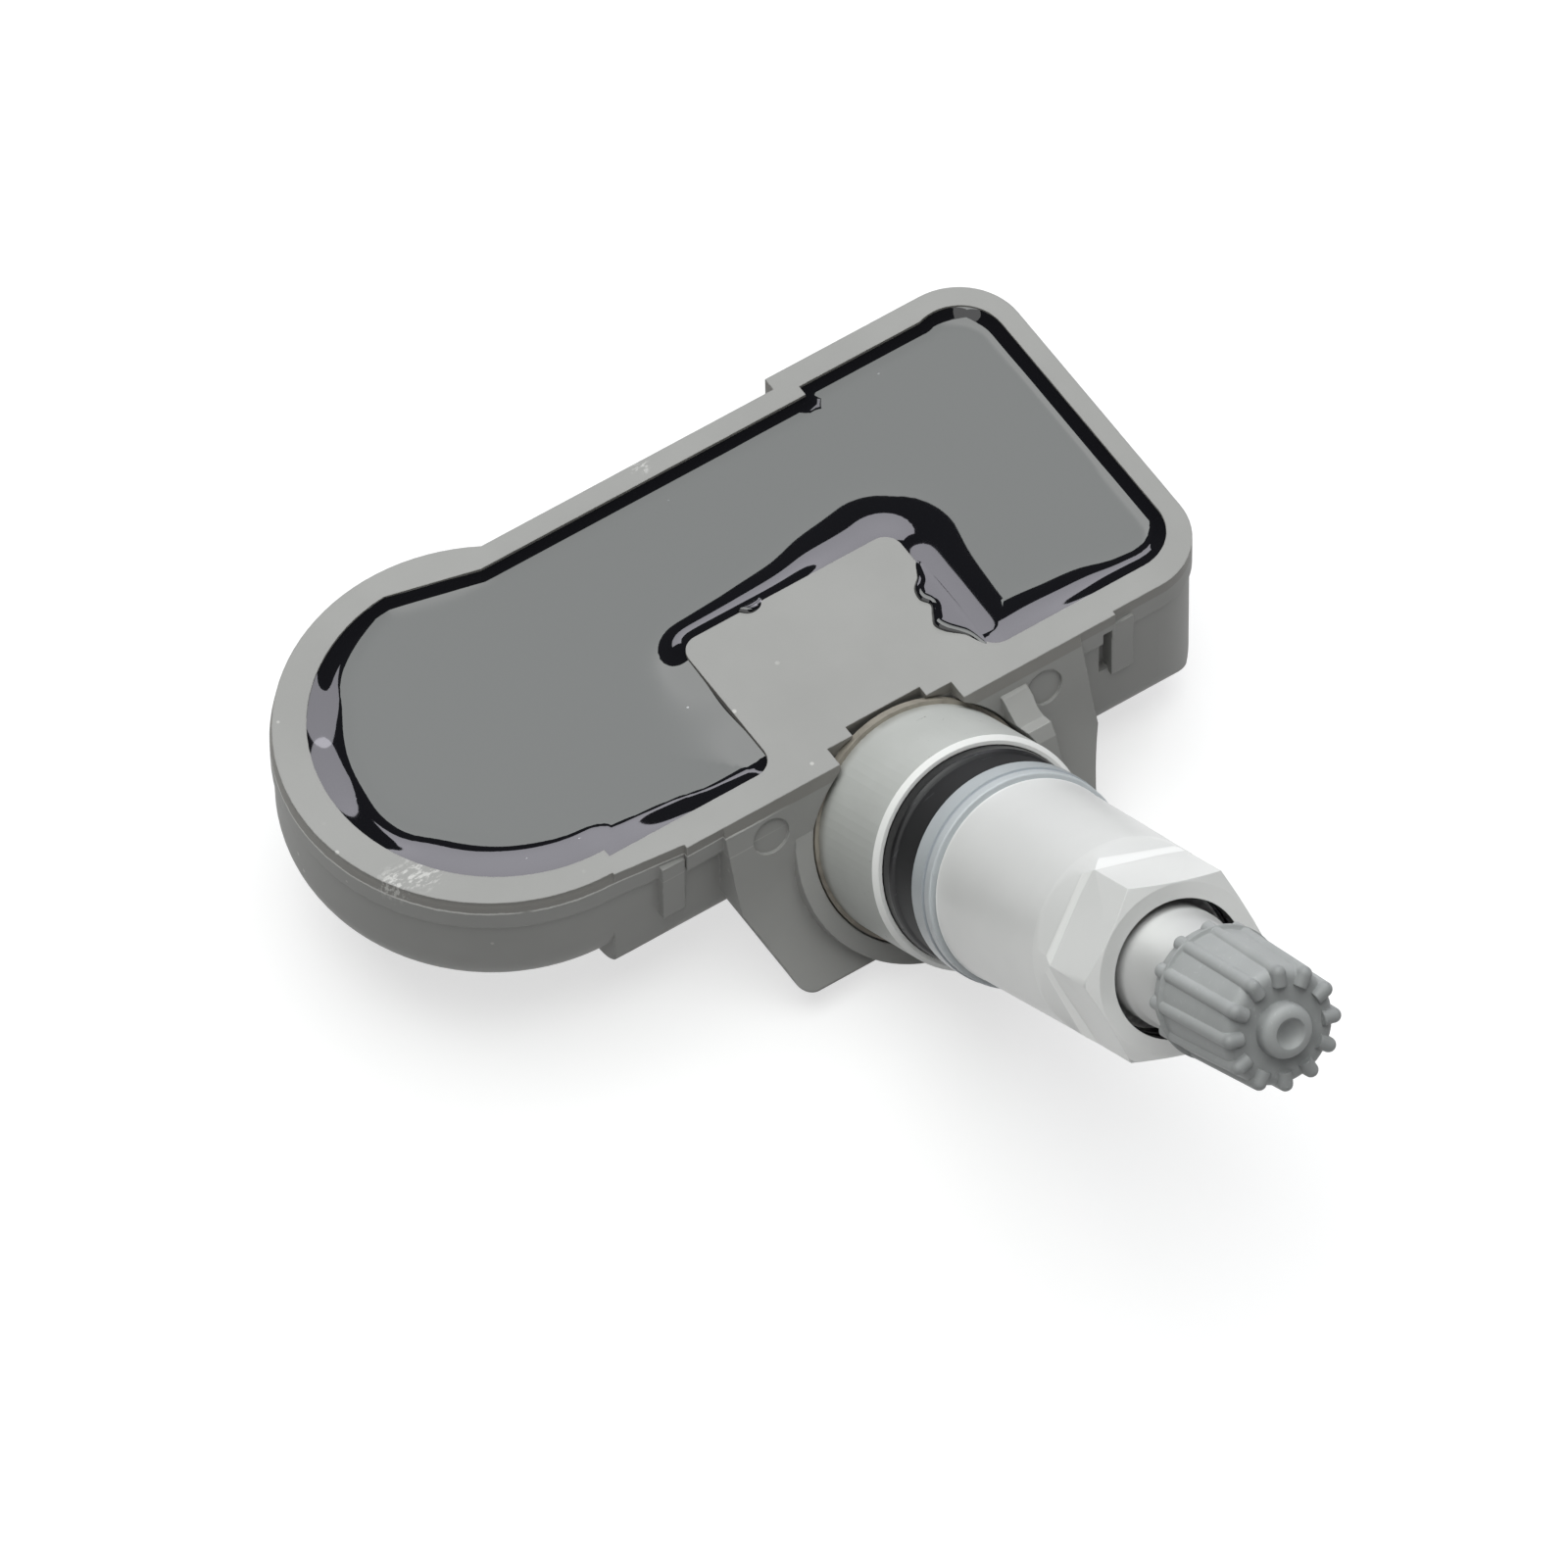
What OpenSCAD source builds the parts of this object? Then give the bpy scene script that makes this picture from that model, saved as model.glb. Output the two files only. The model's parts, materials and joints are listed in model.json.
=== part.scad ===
// Clamp-in tyre pressure sensor: a potted housing on an aluminium valve stem.
// The origin is the point of the stem axis where the wheel rim bears on the grommet.
// The rim of the housing lies in a level plane, and the stem climbs towards -Y.

/* [Housing plan] */
// From the middle of the stem to the flat end of the housing
right_reach = 27.9; // [24:0.1:32]
// From the middle of the stem to the centre of the round end
round_x = 24.1; // [22:0.1:28]
// Radius of the round end
round_r = 16.05; // [15.6:0.05:17.2]
// From the front edge to the centre of the round end
round_y = 17; // [16.4:0.05:17.6]
// Depth of the straight part, front edge to back edge
straight_depth = 30.7; // [29.6:0.1:31.2]
// How far the back edge steps out beside the flat end
back_step = 1.1; // [0.4:0.1:1.4]
// Where that step is, from the middle of the stem
back_step_x = 9.2; // [6:0.1:12]
// Turn of the shoulder where the round end meets the back, in degrees
shoulder_turn = 14.2; // [10:0.2:18]
// How deep the shoulder cuts into the round end
shoulder_cut = 0.9; // [0.4:0.05:1.2]
// Corner radius of the flat end
corner_r = 5.2; // [4.2:0.1:6]
// How far the front lip stands forward of the round end
front_lip = 0.35; // [0.1:0.05:0.6]
// Half length of the front lip
front_lip_half = 18.5; // [17:0.1:20]

/* [Housing section] */
// Depth of the round end below the rim
body_depth = 12; // [11.6:0.1:13]
// How much deeper the flat end is
end_drop = 2.4; // [0.6:0.1:2.6]
// Fillet round the bottom of the round end
bottom_fillet = 5; // [4:0.1:5.2]
// Fillet along the straight bottom edges
straight_fillet = 3; // [2:0.1:3.6]
// Height of the raised band round the rim
band_h = 2.8; // [2:0.1:3.4]
// How far the band stands out from the wall
band_proud = 0.2; // [0.1:0.05:0.4]
// How far it stands out from the flat end
end_proud = 0.7; // [0.4:0.05:0.9]
// Width of the shoulder round the round end's top edge
edge_w = 0.5; // [0.3:0.05:0.8]
// Height of that shoulder, down to the mould's parting line
edge_h = 1.1; // [0.8:0.05:1.4]
// Wall of the round end
round_wall = 2.2; // [1.8:0.1:2.5]
// How far the pocket's round end sits towards the stem
pocket_shift = 0.6; // [0:0.1:0.9]
// Wall at the front, below the rim strip
front_wall = 2.5; // [2:0.1:3]
// Wall at the back
back_wall = 1.7; // [1.4:0.1:2.2]
// Wall at the flat end
end_wall = 1.55; // [1.3:0.05:2]
// Floor under the pocket
floor_t = 1.4; // [1:0.1:1.8]
// Level of the potting below the rim
potting_drop = 0.9; // [0.5:0.1:1.4]
// Radius of the pressure port in the floor
port_r = 1; // [0.7:0.05:1.3]

/* [Plateau and notch] */
// Half width of the plateau at rim height
plateau_half = 9.2; // [8.8:0.1:9.8]
// Depth of the plateau from the front edge
plateau_depth = 15.3; // [14.2:0.1:16]
// Corner radius of the plateau
plateau_r = 1.4; // [0.8:0.1:2]
// Fillet where the plateau runs into the front strip
plateau_root_r = 1.6; // [0.8:0.1:2.2]
// Half width of the shallow notch
notch_half = 5.35; // [4.8:0.05:6]
// Depth of the shallow notch
notch_depth = 1.65; // [1.2:0.05:2]
// Half width of the deep notch
notch_mid_half = 3.2; // [2.6:0.05:3.8]
// Depth of the deep notch
notch_mid_depth = 2.55; // [2.2:0.05:3]

/* [Stem block] */
// Half width of the block
block_half = 15.4; // [14.8:0.1:16.4]
// Lean of the upper face from upright, in degrees
face_lean = 15.6; // [12:0.2:18]
// Depth at which the face begins to sweep forward
sweep_start = 6; // [5:0.1:6.6]
// Radius of that sweep
sweep_r = 24; // [16:0.5:30]
// Depth of the block below the rim
block_depth = 15.3; // [15:0.1:16.2]
// Depth at which the block's sides begin to turn in
side_break = 8.2; // [7:0.1:9.5]
// How far each side turns in at the bottom
side_turn = 2.1; // [1.6:0.1:3.4]
// Radius of the block's lower corners
block_corner_r = 1.6; // [1:0.1:2.4]
// How far the block runs back under the housing
block_run = 15; // [13:0.1:17]
// Wall of the socket round the collar's seat
socket_wall = 1.4; // [1:0.1:2]
// Depth of the socket's flat below the rim
socket_drop = 17.4; // [17:0.1:18.4]
// Thickness of the guard rib beside the collar
guard_t = 1.1; // [0.8:0.1:1.6]
// How far the guard rib stands forward of the rim
guard_reach = 5.4; // [4.6:0.1:6.2]
// Top of the guard rib below the rim
guard_drop = 1.6; // [1.2:0.1:2.2]
// Radius of the round pads on the face
pad_r = 1.5; // [1.2:0.05:1.8]
// From the middle of the block to each pad
pad_x = 11.8; // [11.2:0.1:12.4]
// Width of the ribs on the housing wall
wall_rib_w = 1.9; // [1.4:0.1:2.4]

/* [Stem] */
// Climb of the stem above the level of the rim, in degrees
stem_tilt = 31.4; // [29:0.2:34]
// Depth of the stem axis below the rim, at the front edge
axis_drop = 9.5; // [9:0.1:10]
// From the front edge to the wheel seat, along the stem
seat_reach = 16.6; // [15.6:0.1:17.6]
// Radius of the collar
collar_r = 8.85; // [8.6:0.05:9.2]
// From the wheel seat back to the collar's bright rim
collar_top = 4.35; // [4:0.05:5]
// Length of the collar
collar_len = 8.5; // [8:0.1:9]
// Wall of the collar round the grommet
collar_wall = 0.65; // [0.5:0.05:0.8]
// Depth of the cup that holds the grommet
cup_depth = 2.6; // [2:0.1:3]
// Radius of the stem's mounting thread
shank_r = 4.9; // [4.7:0.05:5.1]
// From the wheel seat to the end of the mounting thread
shank_len = 25; // [24:0.1:26]
// Radius of the smooth part below the cap
neck_r = 4.15; // [4.05:0.05:4.3]
// Radius of the cap thread
tip_r = 3.83; // [3.75:0.01:3.88]
// Where the cap thread begins, from the wheel seat
tip_start = 30.4; // [29.8:0.1:31]
// End of the stem, from the wheel seat
tip_end = 38.1; // [37.6:0.1:38.3]
// Radius of the hole for the valve core
core_bore_r = 2.6; // [2.45:0.05:2.75]
// Radius of the air passage
air_r = 1.3; // [1:0.05:1.5]

/* [Wheel hole] */
// Diameter of the valve hole in the wheel
wheel_hole_d = 11.5; // [11.3:0.1:11.8]

/* [Nut and washer] */
// Width of the nut across its flats
nut_flats = 13; // [12.8:0.1:13.2]
// From the wheel seat to the nut's hexagon
hex_start = 19.55; // [18.6:0.1:20.4]
// From the wheel seat to the nut's front face
nut_end = 24.85; // [24:0.05:25.6]
// Radius of the nut's foot
nut_foot_r = 7.75; // [7.6:0.05:8]
// Radius of the mouth in the nut's front face
nut_mouth_r = 5.2; // [5.15:0.05:5.4]
// Turn of the nut's corners about the stem, in degrees
nut_turn = 42; // [0:1:59]
// Radius of the washer
washer_r = 8.2; // [8.05:0.05:8.4]
// Thickness of the washer
washer_t = 2.6; // [2.2:0.1:3]

/* [Cap] */
// Radius of the cap's skirt line
cap_r = 5; // [4.9:0.05:5.1]
// Radius over the ribs at the tip
cap_tip_r = 4.7; // [4.5:0.05:4.9]
// Length of the cap without its boss
cap_len = 10.7; // [10.4:0.1:11]
// Radius of the boss on the cap
cap_boss_r = 2.05; // [1.7:0.05:2.2]
// How far each rib's finger turns in over the front
cap_finger = 0.95; // [0.9:0.05:1]
// Number of ribs on the cap
cap_ribs = 12; // [12:1:14]

/* [Inside] */
// Radius of the button cell
cell_r = 12.25; // [11.5:0.05:12.4]
// Thickness of the button cell
cell_t = 5; // [4:0.1:5.2]
// Thickness of the circuit board
board_t = 0.8; // [0.6:0.1:1]
// Height of the board above the pocket's floor
board_lift = 2.8; // [2.7:0.1:3.2]
// Turns of the valve core's spring
spring_turns = 6; // [4:1:8]

/* [Fits] */
// Gap round parts that turn or slide
run_gap = 0.05; // [0.03:0.01:0.08]
// Gap between faces that bear on each other
face_gap = 0.05; // [0.03:0.01:0.1]
// Gap round parts that are dropped into a seat
loose_gap = 0.15; // [0.1:0.01:0.25]

/* [Hidden] */
$fn = 96;
eps = 0.01;

// Colours as the photograph shows them
resin_grey = [0.58, 0.57, 0.56];
light_metal = [0.80, 0.80, 0.79];
cap_grey = [0.56, 0.58, 0.58];

// The two working frames
housing_y = seat_reach * cos(stem_tilt);
housing_z = axis_drop - seat_reach * sin(stem_tilt);
module at_housing() translate([0, housing_y, housing_z]) children();
module along_stem() rotate([90 - stem_tilt, 0, 0]) children();
// The stem's frame as the housing's modules see it
module housing_to_stem() translate([0, -housing_y, -housing_z]) along_stem() children();

// Heights in the housing, below the rim
pocket_floor_z = -body_depth + floor_t;
potting_z = -potting_drop;
board_z = pocket_floor_z + board_lift;

// Stations along the stem, from the wheel seat outwards
collar_rim = -collar_top;
collar_base = collar_rim - collar_len;
cup_floor = collar_rim - cup_depth;
ring_t = 0.8;
seat_floor = collar_base - ring_t;
recess_gap = 0.45;
recess_r = collar_r + recess_gap;
nut_foot = washer_t + face_gap;
hex_r = nut_flats / sqrt(3);
cap_end = tip_end + 2.1;
cap_open = cap_end - cap_len;
cap_line = cap_open + 1.2;

// Plan of the housing

// The outline that the rim follows, moved in by a step all round
module plan(step = 0) {
    difference() {
        translate([-round_x, round_y]) circle(r = round_r - step);
        // The shoulder where the round end runs into the straight back
        shoulder(round_r - step - shoulder_cut);
    }
    difference() {
        straight_plan(step);
        translate([-2 * round_x, -eps]) square([round_x, 2 * straight_depth]);
    }
    translate([-front_lip_half, step])
        square([2 * front_lip_half, round_y]);
}

// What the shoulder takes off, at a distance from the round end's centre
module shoulder(reach) {
    translate([-round_x, round_y]) rotate(-shoulder_turn)
        translate([-round_r, reach]) square([3 * round_r, 4]);
}

// The straight part, with the corners of the flat end rounded
module straight_plan(step) {
    r = corner_r - step;
    right = right_reach - step;
    back = straight_depth + back_step - step;
    polygon([
        [-round_x, round_y - round_r + step], [-front_lip_half, front_lip + step],
        [right - r, front_lip + step], [right - r, straight_depth - step], [-round_x, straight_depth - step]
    ]);
    for (y = [front_lip + step + r, back - r])
        translate([right - r, y]) circle(r = r);
    translate([back_step_x, front_lip + step])
        square([right - r - back_step_x, back - front_lip - step]);
    translate([right - 2 * r, front_lip + step + r])
        square([2 * r, back - front_lip - step - 2 * r]);
}

// The pocket, open to the rim
module pocket_plan() {
    right = right_reach - end_wall;
    back = straight_depth - back_wall;
    r = corner_r - end_wall;
    x0 = -round_x + pocket_shift;
    difference() {
        union() {
            difference() {
                translate([x0, round_y]) circle(r = round_r - round_wall);
                shoulder(round_r - round_wall - shoulder_cut * 0.6);
            }
            translate([x0, front_wall]) square([right - r - x0, back - front_wall]);
            translate([back_step_x + back_wall, front_wall])
                square([right - r - back_step_x - back_wall, back + back_step * 0.8 - front_wall]);
            for (y = [front_wall + r, back + back_step - r])
                translate([right - r, y]) circle(r = r);
            translate([right - 2 * r, front_wall + r])
                square([2 * r, back + back_step - front_wall - 2 * r]);
        }
        plateau_plan();
    }
}

// The plateau round the stem's fixing, with its rounded corners and root fillets
module plateau_plan() {
    for (side = [-1, 1]) {
        translate([side * (plateau_half - plateau_r), plateau_depth - plateau_r]) circle(r = plateau_r);
        difference() {
            translate([side * (plateau_half + plateau_root_r / 2), front_wall + plateau_root_r / 2 - eps])
                square([plateau_root_r + eps, plateau_root_r + eps], center = true);
            translate([side * (plateau_half + plateau_root_r), front_wall + plateau_root_r])
                circle(r = plateau_root_r);
        }
    }
    translate([-plateau_half + plateau_r, 0]) square([2 * (plateau_half - plateau_r), plateau_depth]);
    translate([-plateau_half, 0]) square([2 * plateau_half, plateau_depth - plateau_r]);
}

// Housing

// The rim's band, with a shoulder round the round end
module rim_band() {
    translate([0, 0, -band_h]) linear_extrude(height = band_h - edge_h) plan();
    difference() {
        translate([-round_x, round_y, -edge_h - eps]) rotate_extrude() polygon([
            [0, 0], [round_r, 0], [round_r - edge_w * 0.2, edge_h * 0.5],
            [round_r - edge_w * 0.5, edge_h * 0.85], [round_r - edge_w, edge_h + eps], [0, edge_h + eps]
        ]);
        translate([0, 0, -2 * edge_h]) linear_extrude(height = 3 * edge_h) shoulder(round_r - shoulder_cut);
    }
    translate([0, 0, -edge_h - eps]) linear_extrude(height = edge_h + eps) difference() {
        union() {
            straight_plan(0);
            translate([-front_lip_half, 0]) square([2 * front_lip_half, round_y]);
        }
        translate([-2 * round_x, -1]) square([round_x, 2 * straight_depth]);
    }
}

// The shell of the round end, turned about its centre
module round_end() {
    r = round_r - band_proud;
    translate([-round_x, round_y, 0]) rotate_extrude() {
        translate([0, -body_depth]) square([r - bottom_fillet, body_depth]);
        translate([0, -body_depth + bottom_fillet]) square([r, body_depth - bottom_fillet]);
        translate([r - bottom_fillet, -body_depth + bottom_fillet]) circle(r = bottom_fillet);
    }
}

// Where the body gets deeper, within the block's width
end_drop_x = block_half - 3;

// The straight run of the body, filleted along its bottom, deeper beside the flat end
module straight_run() {
    front = front_lip + band_proud;
    back = straight_depth + back_step - band_proud;
    f = straight_fillet;
    for (run = [[-round_x, end_drop_x, body_depth], [end_drop_x, right_reach, body_depth + end_drop]])
        intersection() {
            translate([run[0], 0, 0]) rotate([90, 0, 90]) linear_extrude(height = run[1] - run[0]) {
                translate([front + f, -run[2]]) square([back - front - 2 * f, run[2]]);
                translate([front, -run[2] + f]) square([back - front, run[2] - f]);
                for (y = [front + f, back - f]) translate([y, -run[2] + f]) circle(r = f);
            }
            translate([0, 0, -run[2]]) linear_extrude(height = run[2]) plan(band_proud);
            end_profile(run[2], f);
        }
}

// The flat end's profile, seen from the front
module end_profile(depth, f) {
    right = right_reach - end_proud;
    rotate([90, 0, 0]) translate([0, 0, -2 * straight_depth]) linear_extrude(height = 3 * straight_depth) {
        translate([-2 * round_x, -depth]) square([2 * round_x + right - f, depth]);
        translate([-2 * round_x, -depth + f]) square([2 * round_x + right, depth - f]);
        translate([right - f, -depth + f]) circle(r = f);
    }
}

// The block that carries the stem, with a face that sweeps forward as it goes down
module stem_block() {
    intersection() {
        translate([-block_half, 0, 0]) rotate([90, 0, 90]) linear_extrude(height = 2 * block_half)
            face_profile();
        rotate([90, 0, 0]) translate([0, 0, -block_run]) linear_extrude(height = 4 * block_run)
            block_front();
    }
    socket();
}

// Side view of the block
module face_profile() {
    start = [-sweep_start * tan(face_lean), -sweep_start];
    centre = start + sweep_r * [-cos(face_lean), sin(face_lean)];
    reach = 2 * sweep_start;
    difference() {
        polygon([
            [0, 0], start, [start.x - reach, start.y], [start.x - reach, -block_depth],
            [block_run, -block_depth], [block_run, 0]
        ]);
        translate(centre) circle(r = sweep_r, $fn = 240);
    }
}

// Front view of the block: straight sides that turn in, and rounded lower corners
module block_front() {
    foot = block_half - side_turn;
    for (side = [-1, 1])
        translate([side * (foot - block_corner_r), -block_depth + block_corner_r]) circle(r = block_corner_r);
    polygon([
        [-block_half, 0], [-block_half, -side_break], [-foot, -block_depth + block_corner_r],
        [-foot + block_corner_r, -block_depth], [foot - block_corner_r, -block_depth],
        [foot, -block_depth + block_corner_r], [block_half, -side_break], [block_half, 0]
    ]);
}

// The socket behind the collar, under the block, with a flat below
module socket() {
    length = 12;
    intersection() {
        housing_to_stem() translate([0, 0, seat_floor + ring_t - length])
            cylinder(r = recess_r + socket_wall, h = length);
        translate([-block_half, -block_run, -socket_drop])
            cube([2 * block_half, 2 * block_run, socket_drop - band_h]);
    }
}

// The guard rib: an upright fin beside the collar, with a step in its sloping top edge
module guard_rib() {
    top = -guard_drop;
    foot = -block_depth * 0.64;
    difference() {
        translate([recess_r - guard_t, 0, 0]) rotate([90, 0, 90]) linear_extrude(height = 2 * guard_t)
            polygon([
                [1, top], [-0.8, top - 0.1], [2.6 - guard_reach, top - 1.35], [1.7 - guard_reach, top - 1],
                [1 - guard_reach, top - 1.9], [-guard_reach, top - 4.6], [-guard_reach - 0.2, foot], [1, foot]
            ]);
        housing_to_stem() translate([0, 0, seat_floor]) cylinder(r = recess_r, h = 40);
    }
}

// A rib on the front wall of the housing
rib_low = 7.3;
module wall_rib(x) {
    translate([x - wall_rib_w / 2, front_lip - 0.25, -rib_low])
        cube([wall_rib_w, 1.4, rib_low - band_h / 2]);
}

left_rib_x = -front_lip_half - 1.1;
right_rib_x = front_lip_half + 0.7;

// The slot beside the right rib
module rib_slot(x) {
    slot_w = 0.8;
    translate([x - wall_rib_w / 2 - slot_w, front_lip - 1, -rib_low + 0.4])
        cube([slot_w, 1.9, rib_low - band_h * 0.75]);
}

// The notch in the rim over the collar, in two steps
module notch() {
    low = 6;
    translate([-notch_half, -4, -low]) cube([2 * notch_half, 4 + notch_depth, low + 1]);
    translate([-notch_mid_half, -4, -low]) cube([2 * notch_mid_half, 4 + notch_mid_depth, low + 1]);
}

// The fixing screw's way in from below
screw_head_r = 3.4;
screw_head_t = 2.2;
screw_r = 2;
screw_web = 4;
screw_seat = seat_floor - screw_web;

module housing() {
    color(resin_grey) at_housing() difference() {
        union() {
            difference() {
                union() {
                    rim_band();
                    round_end();
                    straight_run();
                    stem_block();
                }
                translate([0, 0, pocket_floor_z]) linear_extrude(height = body_depth) pocket_plan();
            }
            guard_rib();
            for (x = [left_rib_x, right_rib_x]) wall_rib(x);
        }
        notch();
        rib_slot(right_rib_x);
        // Seat of the collar and its ring
        housing_to_stem() translate([0, 0, seat_floor]) cylinder(r = recess_r, h = 40);
        // Hole and head pocket of the fixing screw
        housing_to_stem() translate([0, 0, screw_seat - eps]) cylinder(r = screw_r + loose_gap, h = screw_web + 1);
        housing_to_stem() translate([0, 0, screw_seat - 20]) cylinder(r = screw_head_r + 0.4, h = 20);
        // Round pads left by the mould
        for (side = [-1, 1]) face_pad(side);
        // Pressure port
        translate([port_x, port_y, -body_depth - end_drop - 1]) cylinder(r = port_r, h = floor_t + end_drop + 2);
    }
}

// A shallow round mark on the block's face
module face_pad(side) {
    depth = 0.25;
    drop = 2.9;
    translate([side * pad_x, -drop * tan(face_lean), -drop]) rotate([90 - face_lean, 0, 0])
        translate([0, 0, -depth]) cylinder(r = pad_r, h = 3);
}

// What the potting buries

cell_x = -round_x + pocket_shift;
cell_y = round_y;
tab_t = 0.2;
cell_z = pocket_floor_z + 3 * tab_t;
board_margin = 1.1;
board_left = -plateau_half - 0.4;
board_right = right_reach - end_wall - board_margin;
board_back = straight_depth - back_wall - board_margin;
board_front = plateau_depth + board_margin;
port_x = plateau_half + 7.8;
port_y = front_wall + 7.5;

module battery_cell() {
    edge = 0.5;
    color("silver") at_housing() translate([cell_x, cell_y, cell_z]) {
        cylinder(r = cell_r, h = cell_t - 2 * edge);
        cylinder(r = cell_r - 1.2, h = cell_t);
        translate([0, 0, cell_t - 2 * edge]) cylinder(r1 = cell_r, r2 = cell_r - edge, h = edge);
    }
}

// A welded strip that runs from a face of the cell to the board
tab_w = 3;
tab_reach = 1.5;
module tab(z, y, rise_from, rise_to) {
    width = tab_w;
    x_end = board_left + tab_reach;
    translate([cell_x - width, y - width / 2, z]) cube([x_end - cell_x + width, width, tab_t]);
    translate([x_end - tab_t, y - width / 2, rise_from]) cube([tab_t, width, rise_to - rise_from]);
}

module battery_tab_top() {
    z = cell_z + cell_t;
    color("silver") at_housing() tab(z, board_back - 1.6 * tab_w, board_z + board_t, z + tab_t);
}

module battery_tab_bottom() {
    z = cell_z - tab_t;
    color("silver") at_housing() tab(z, board_front + 0.9 * tab_w, z, board_z);
}

module circuit_board() {
    color("darkgreen") at_housing() translate([0, 0, board_z]) linear_extrude(height = board_t) {
        translate([board_left, board_front]) square([board_right - board_left, board_back - board_front]);
        translate([plateau_half + board_margin, front_wall + board_margin])
            square([board_right - plateau_half - board_margin, board_back - front_wall - board_margin]);
    }
}

chip_w = 6;
seal_t = 0.8;
module sensor_chip() {
    chip_t = board_lift - seal_t;
    color("dimgray") at_housing() difference() {
        translate([port_x - chip_w / 2, port_y - chip_w / 2, board_z - chip_t]) cube([chip_w, chip_w, chip_t]);
        translate([port_x, port_y, board_z - chip_t - eps]) cylinder(r = port_r * 0.6, h = chip_t / 2);
    }
}

module port_seal() {
    color("black") at_housing() translate([port_x, port_y, pocket_floor_z]) difference() {
        cylinder(r = port_r + 1.2, h = seal_t);
        translate([0, 0, -eps]) cylinder(r = port_r, h = seal_t + 2 * eps);
    }
}

// The crystal's can, with a flange round its foot
crystal_can = [5, 3.2, 1.1];
crystal_flange = 0.3;
module crystal() {
    can = crystal_can;
    flange = crystal_flange;
    color("gainsboro") at_housing()
        translate([plateau_half + board_margin + can.y * 0.7, board_back - can.y * 2.5, board_z + board_t]) {
            linear_extrude(height = flange) square([can.x, can.y]);
            translate([flange, flange, 0]) cube([can.x - 2 * flange, can.y - 2 * flange, can.z]);
        }
}

aerial_set = 1.4;
coil_len = 11;
coil_r = 1.9;
coil_flange = 1;
coil_x = board_left + 4.6;
coil_y = board_back - aerial_set - 1.1 * coil_r - coil_r;
module coil_core() {
    flange = coil_flange;
    color("darkslategray") at_housing() translate([coil_x, coil_y, board_z + board_t + coil_r])
        rotate([0, 90, 0]) {
            cylinder(r = coil_r * 0.45, h = coil_len);
            for (x = [0, coil_len - flange]) translate([0, 0, x]) cylinder(r = coil_r, h = flange);
        }
}

module coil_winding() {
    flange = coil_flange;
    color("peru") at_housing() translate([coil_x + flange, coil_y, board_z + board_t + coil_r])
        rotate([0, 90, 0]) difference() {
            cylinder(r = coil_r * 0.85, h = coil_len - 2 * flange);
            translate([0, 0, -eps]) cylinder(r = coil_r * 0.45, h = coil_len);
        }
}

// A row of small chip parts along the board's front arm, one behind the other
capacitor_size = [2, 1.25, 0.9];
resistor_size = [1.6, 0.8, 0.5];
module chip_row(x, size, count, pitch) {
    for (i = [0 : count - 1])
        translate([x, front_wall + board_margin + pitch * (i + 0.8), board_z + board_t]) cube(size);
}

module capacitors() {
    size = capacitor_size;
    color("tan") at_housing() chip_row(board_right - 2 * size.x, size, 4, 2.4 * size.y);
}

module resistors() {
    size = resistor_size;
    color("darkslategray") at_housing()
        chip_row(plateau_half + board_margin + 0.6 * size.x, size, 5, 3 * size.y);
}

// A stamped aerial strip that stands on two feet along the back of the board
aerial = [20, 0.4, 2.4];
module antenna_strip() {
    strip = aerial;
    foot = strip.z / 2;
    x = board_right - strip.x - 0.9 * board_margin;
    color("silver") at_housing() translate([x, board_back - aerial_set, board_z + board_t]) {
        translate([0, 0, foot]) cube(strip);
        for (i = [0, strip.x - foot]) translate([i, 0, 0]) cube([foot, strip.y, foot + eps]);
    }
}

module buried_parts() {
    battery_cell();
    battery_tab_top();
    battery_tab_bottom();
    circuit_board();
    sensor_chip();
    port_seal();
    crystal();
    coil_core();
    coil_winding();
    capacitors();
    resistors();
    antenna_strip();
}

module potting() {
    color([0.05, 0.05, 0.06]) difference() {
        at_housing() translate([0, 0, pocket_floor_z])
            linear_extrude(height = potting_z - pocket_floor_z) pocket_plan();
        buried_parts();
        at_housing() translate([port_x, port_y, pocket_floor_z - 1]) cylinder(r = port_r + 0.5, h = board_lift + 1);
    }
}

// Stem and what fixes it

module seat_ring() {
    color([0.72, 0.65, 0.52]) along_stem() translate([0, 0, seat_floor]) difference() {
        cylinder(r = recess_r - loose_gap, h = ring_t);
        translate([0, 0, -eps]) cylinder(r = recess_r - 3, h = ring_t + 2 * eps);
    }
}

screw_grip = 3;
module fixing_screw() {
    socket_r = 1.7;
    color("silver") along_stem() difference() {
        union() {
            translate([0, 0, screw_seat - screw_head_t]) cylinder(r = screw_head_r, h = screw_head_t);
            translate([0, 0, screw_seat - eps])
                cylinder(r = screw_r, h = screw_web + ring_t + screw_grip);
        }
        translate([0, 0, screw_seat - screw_head_t - eps]) cylinder(r = socket_r, h = 1.4, $fn = 6);
    }
}

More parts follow.
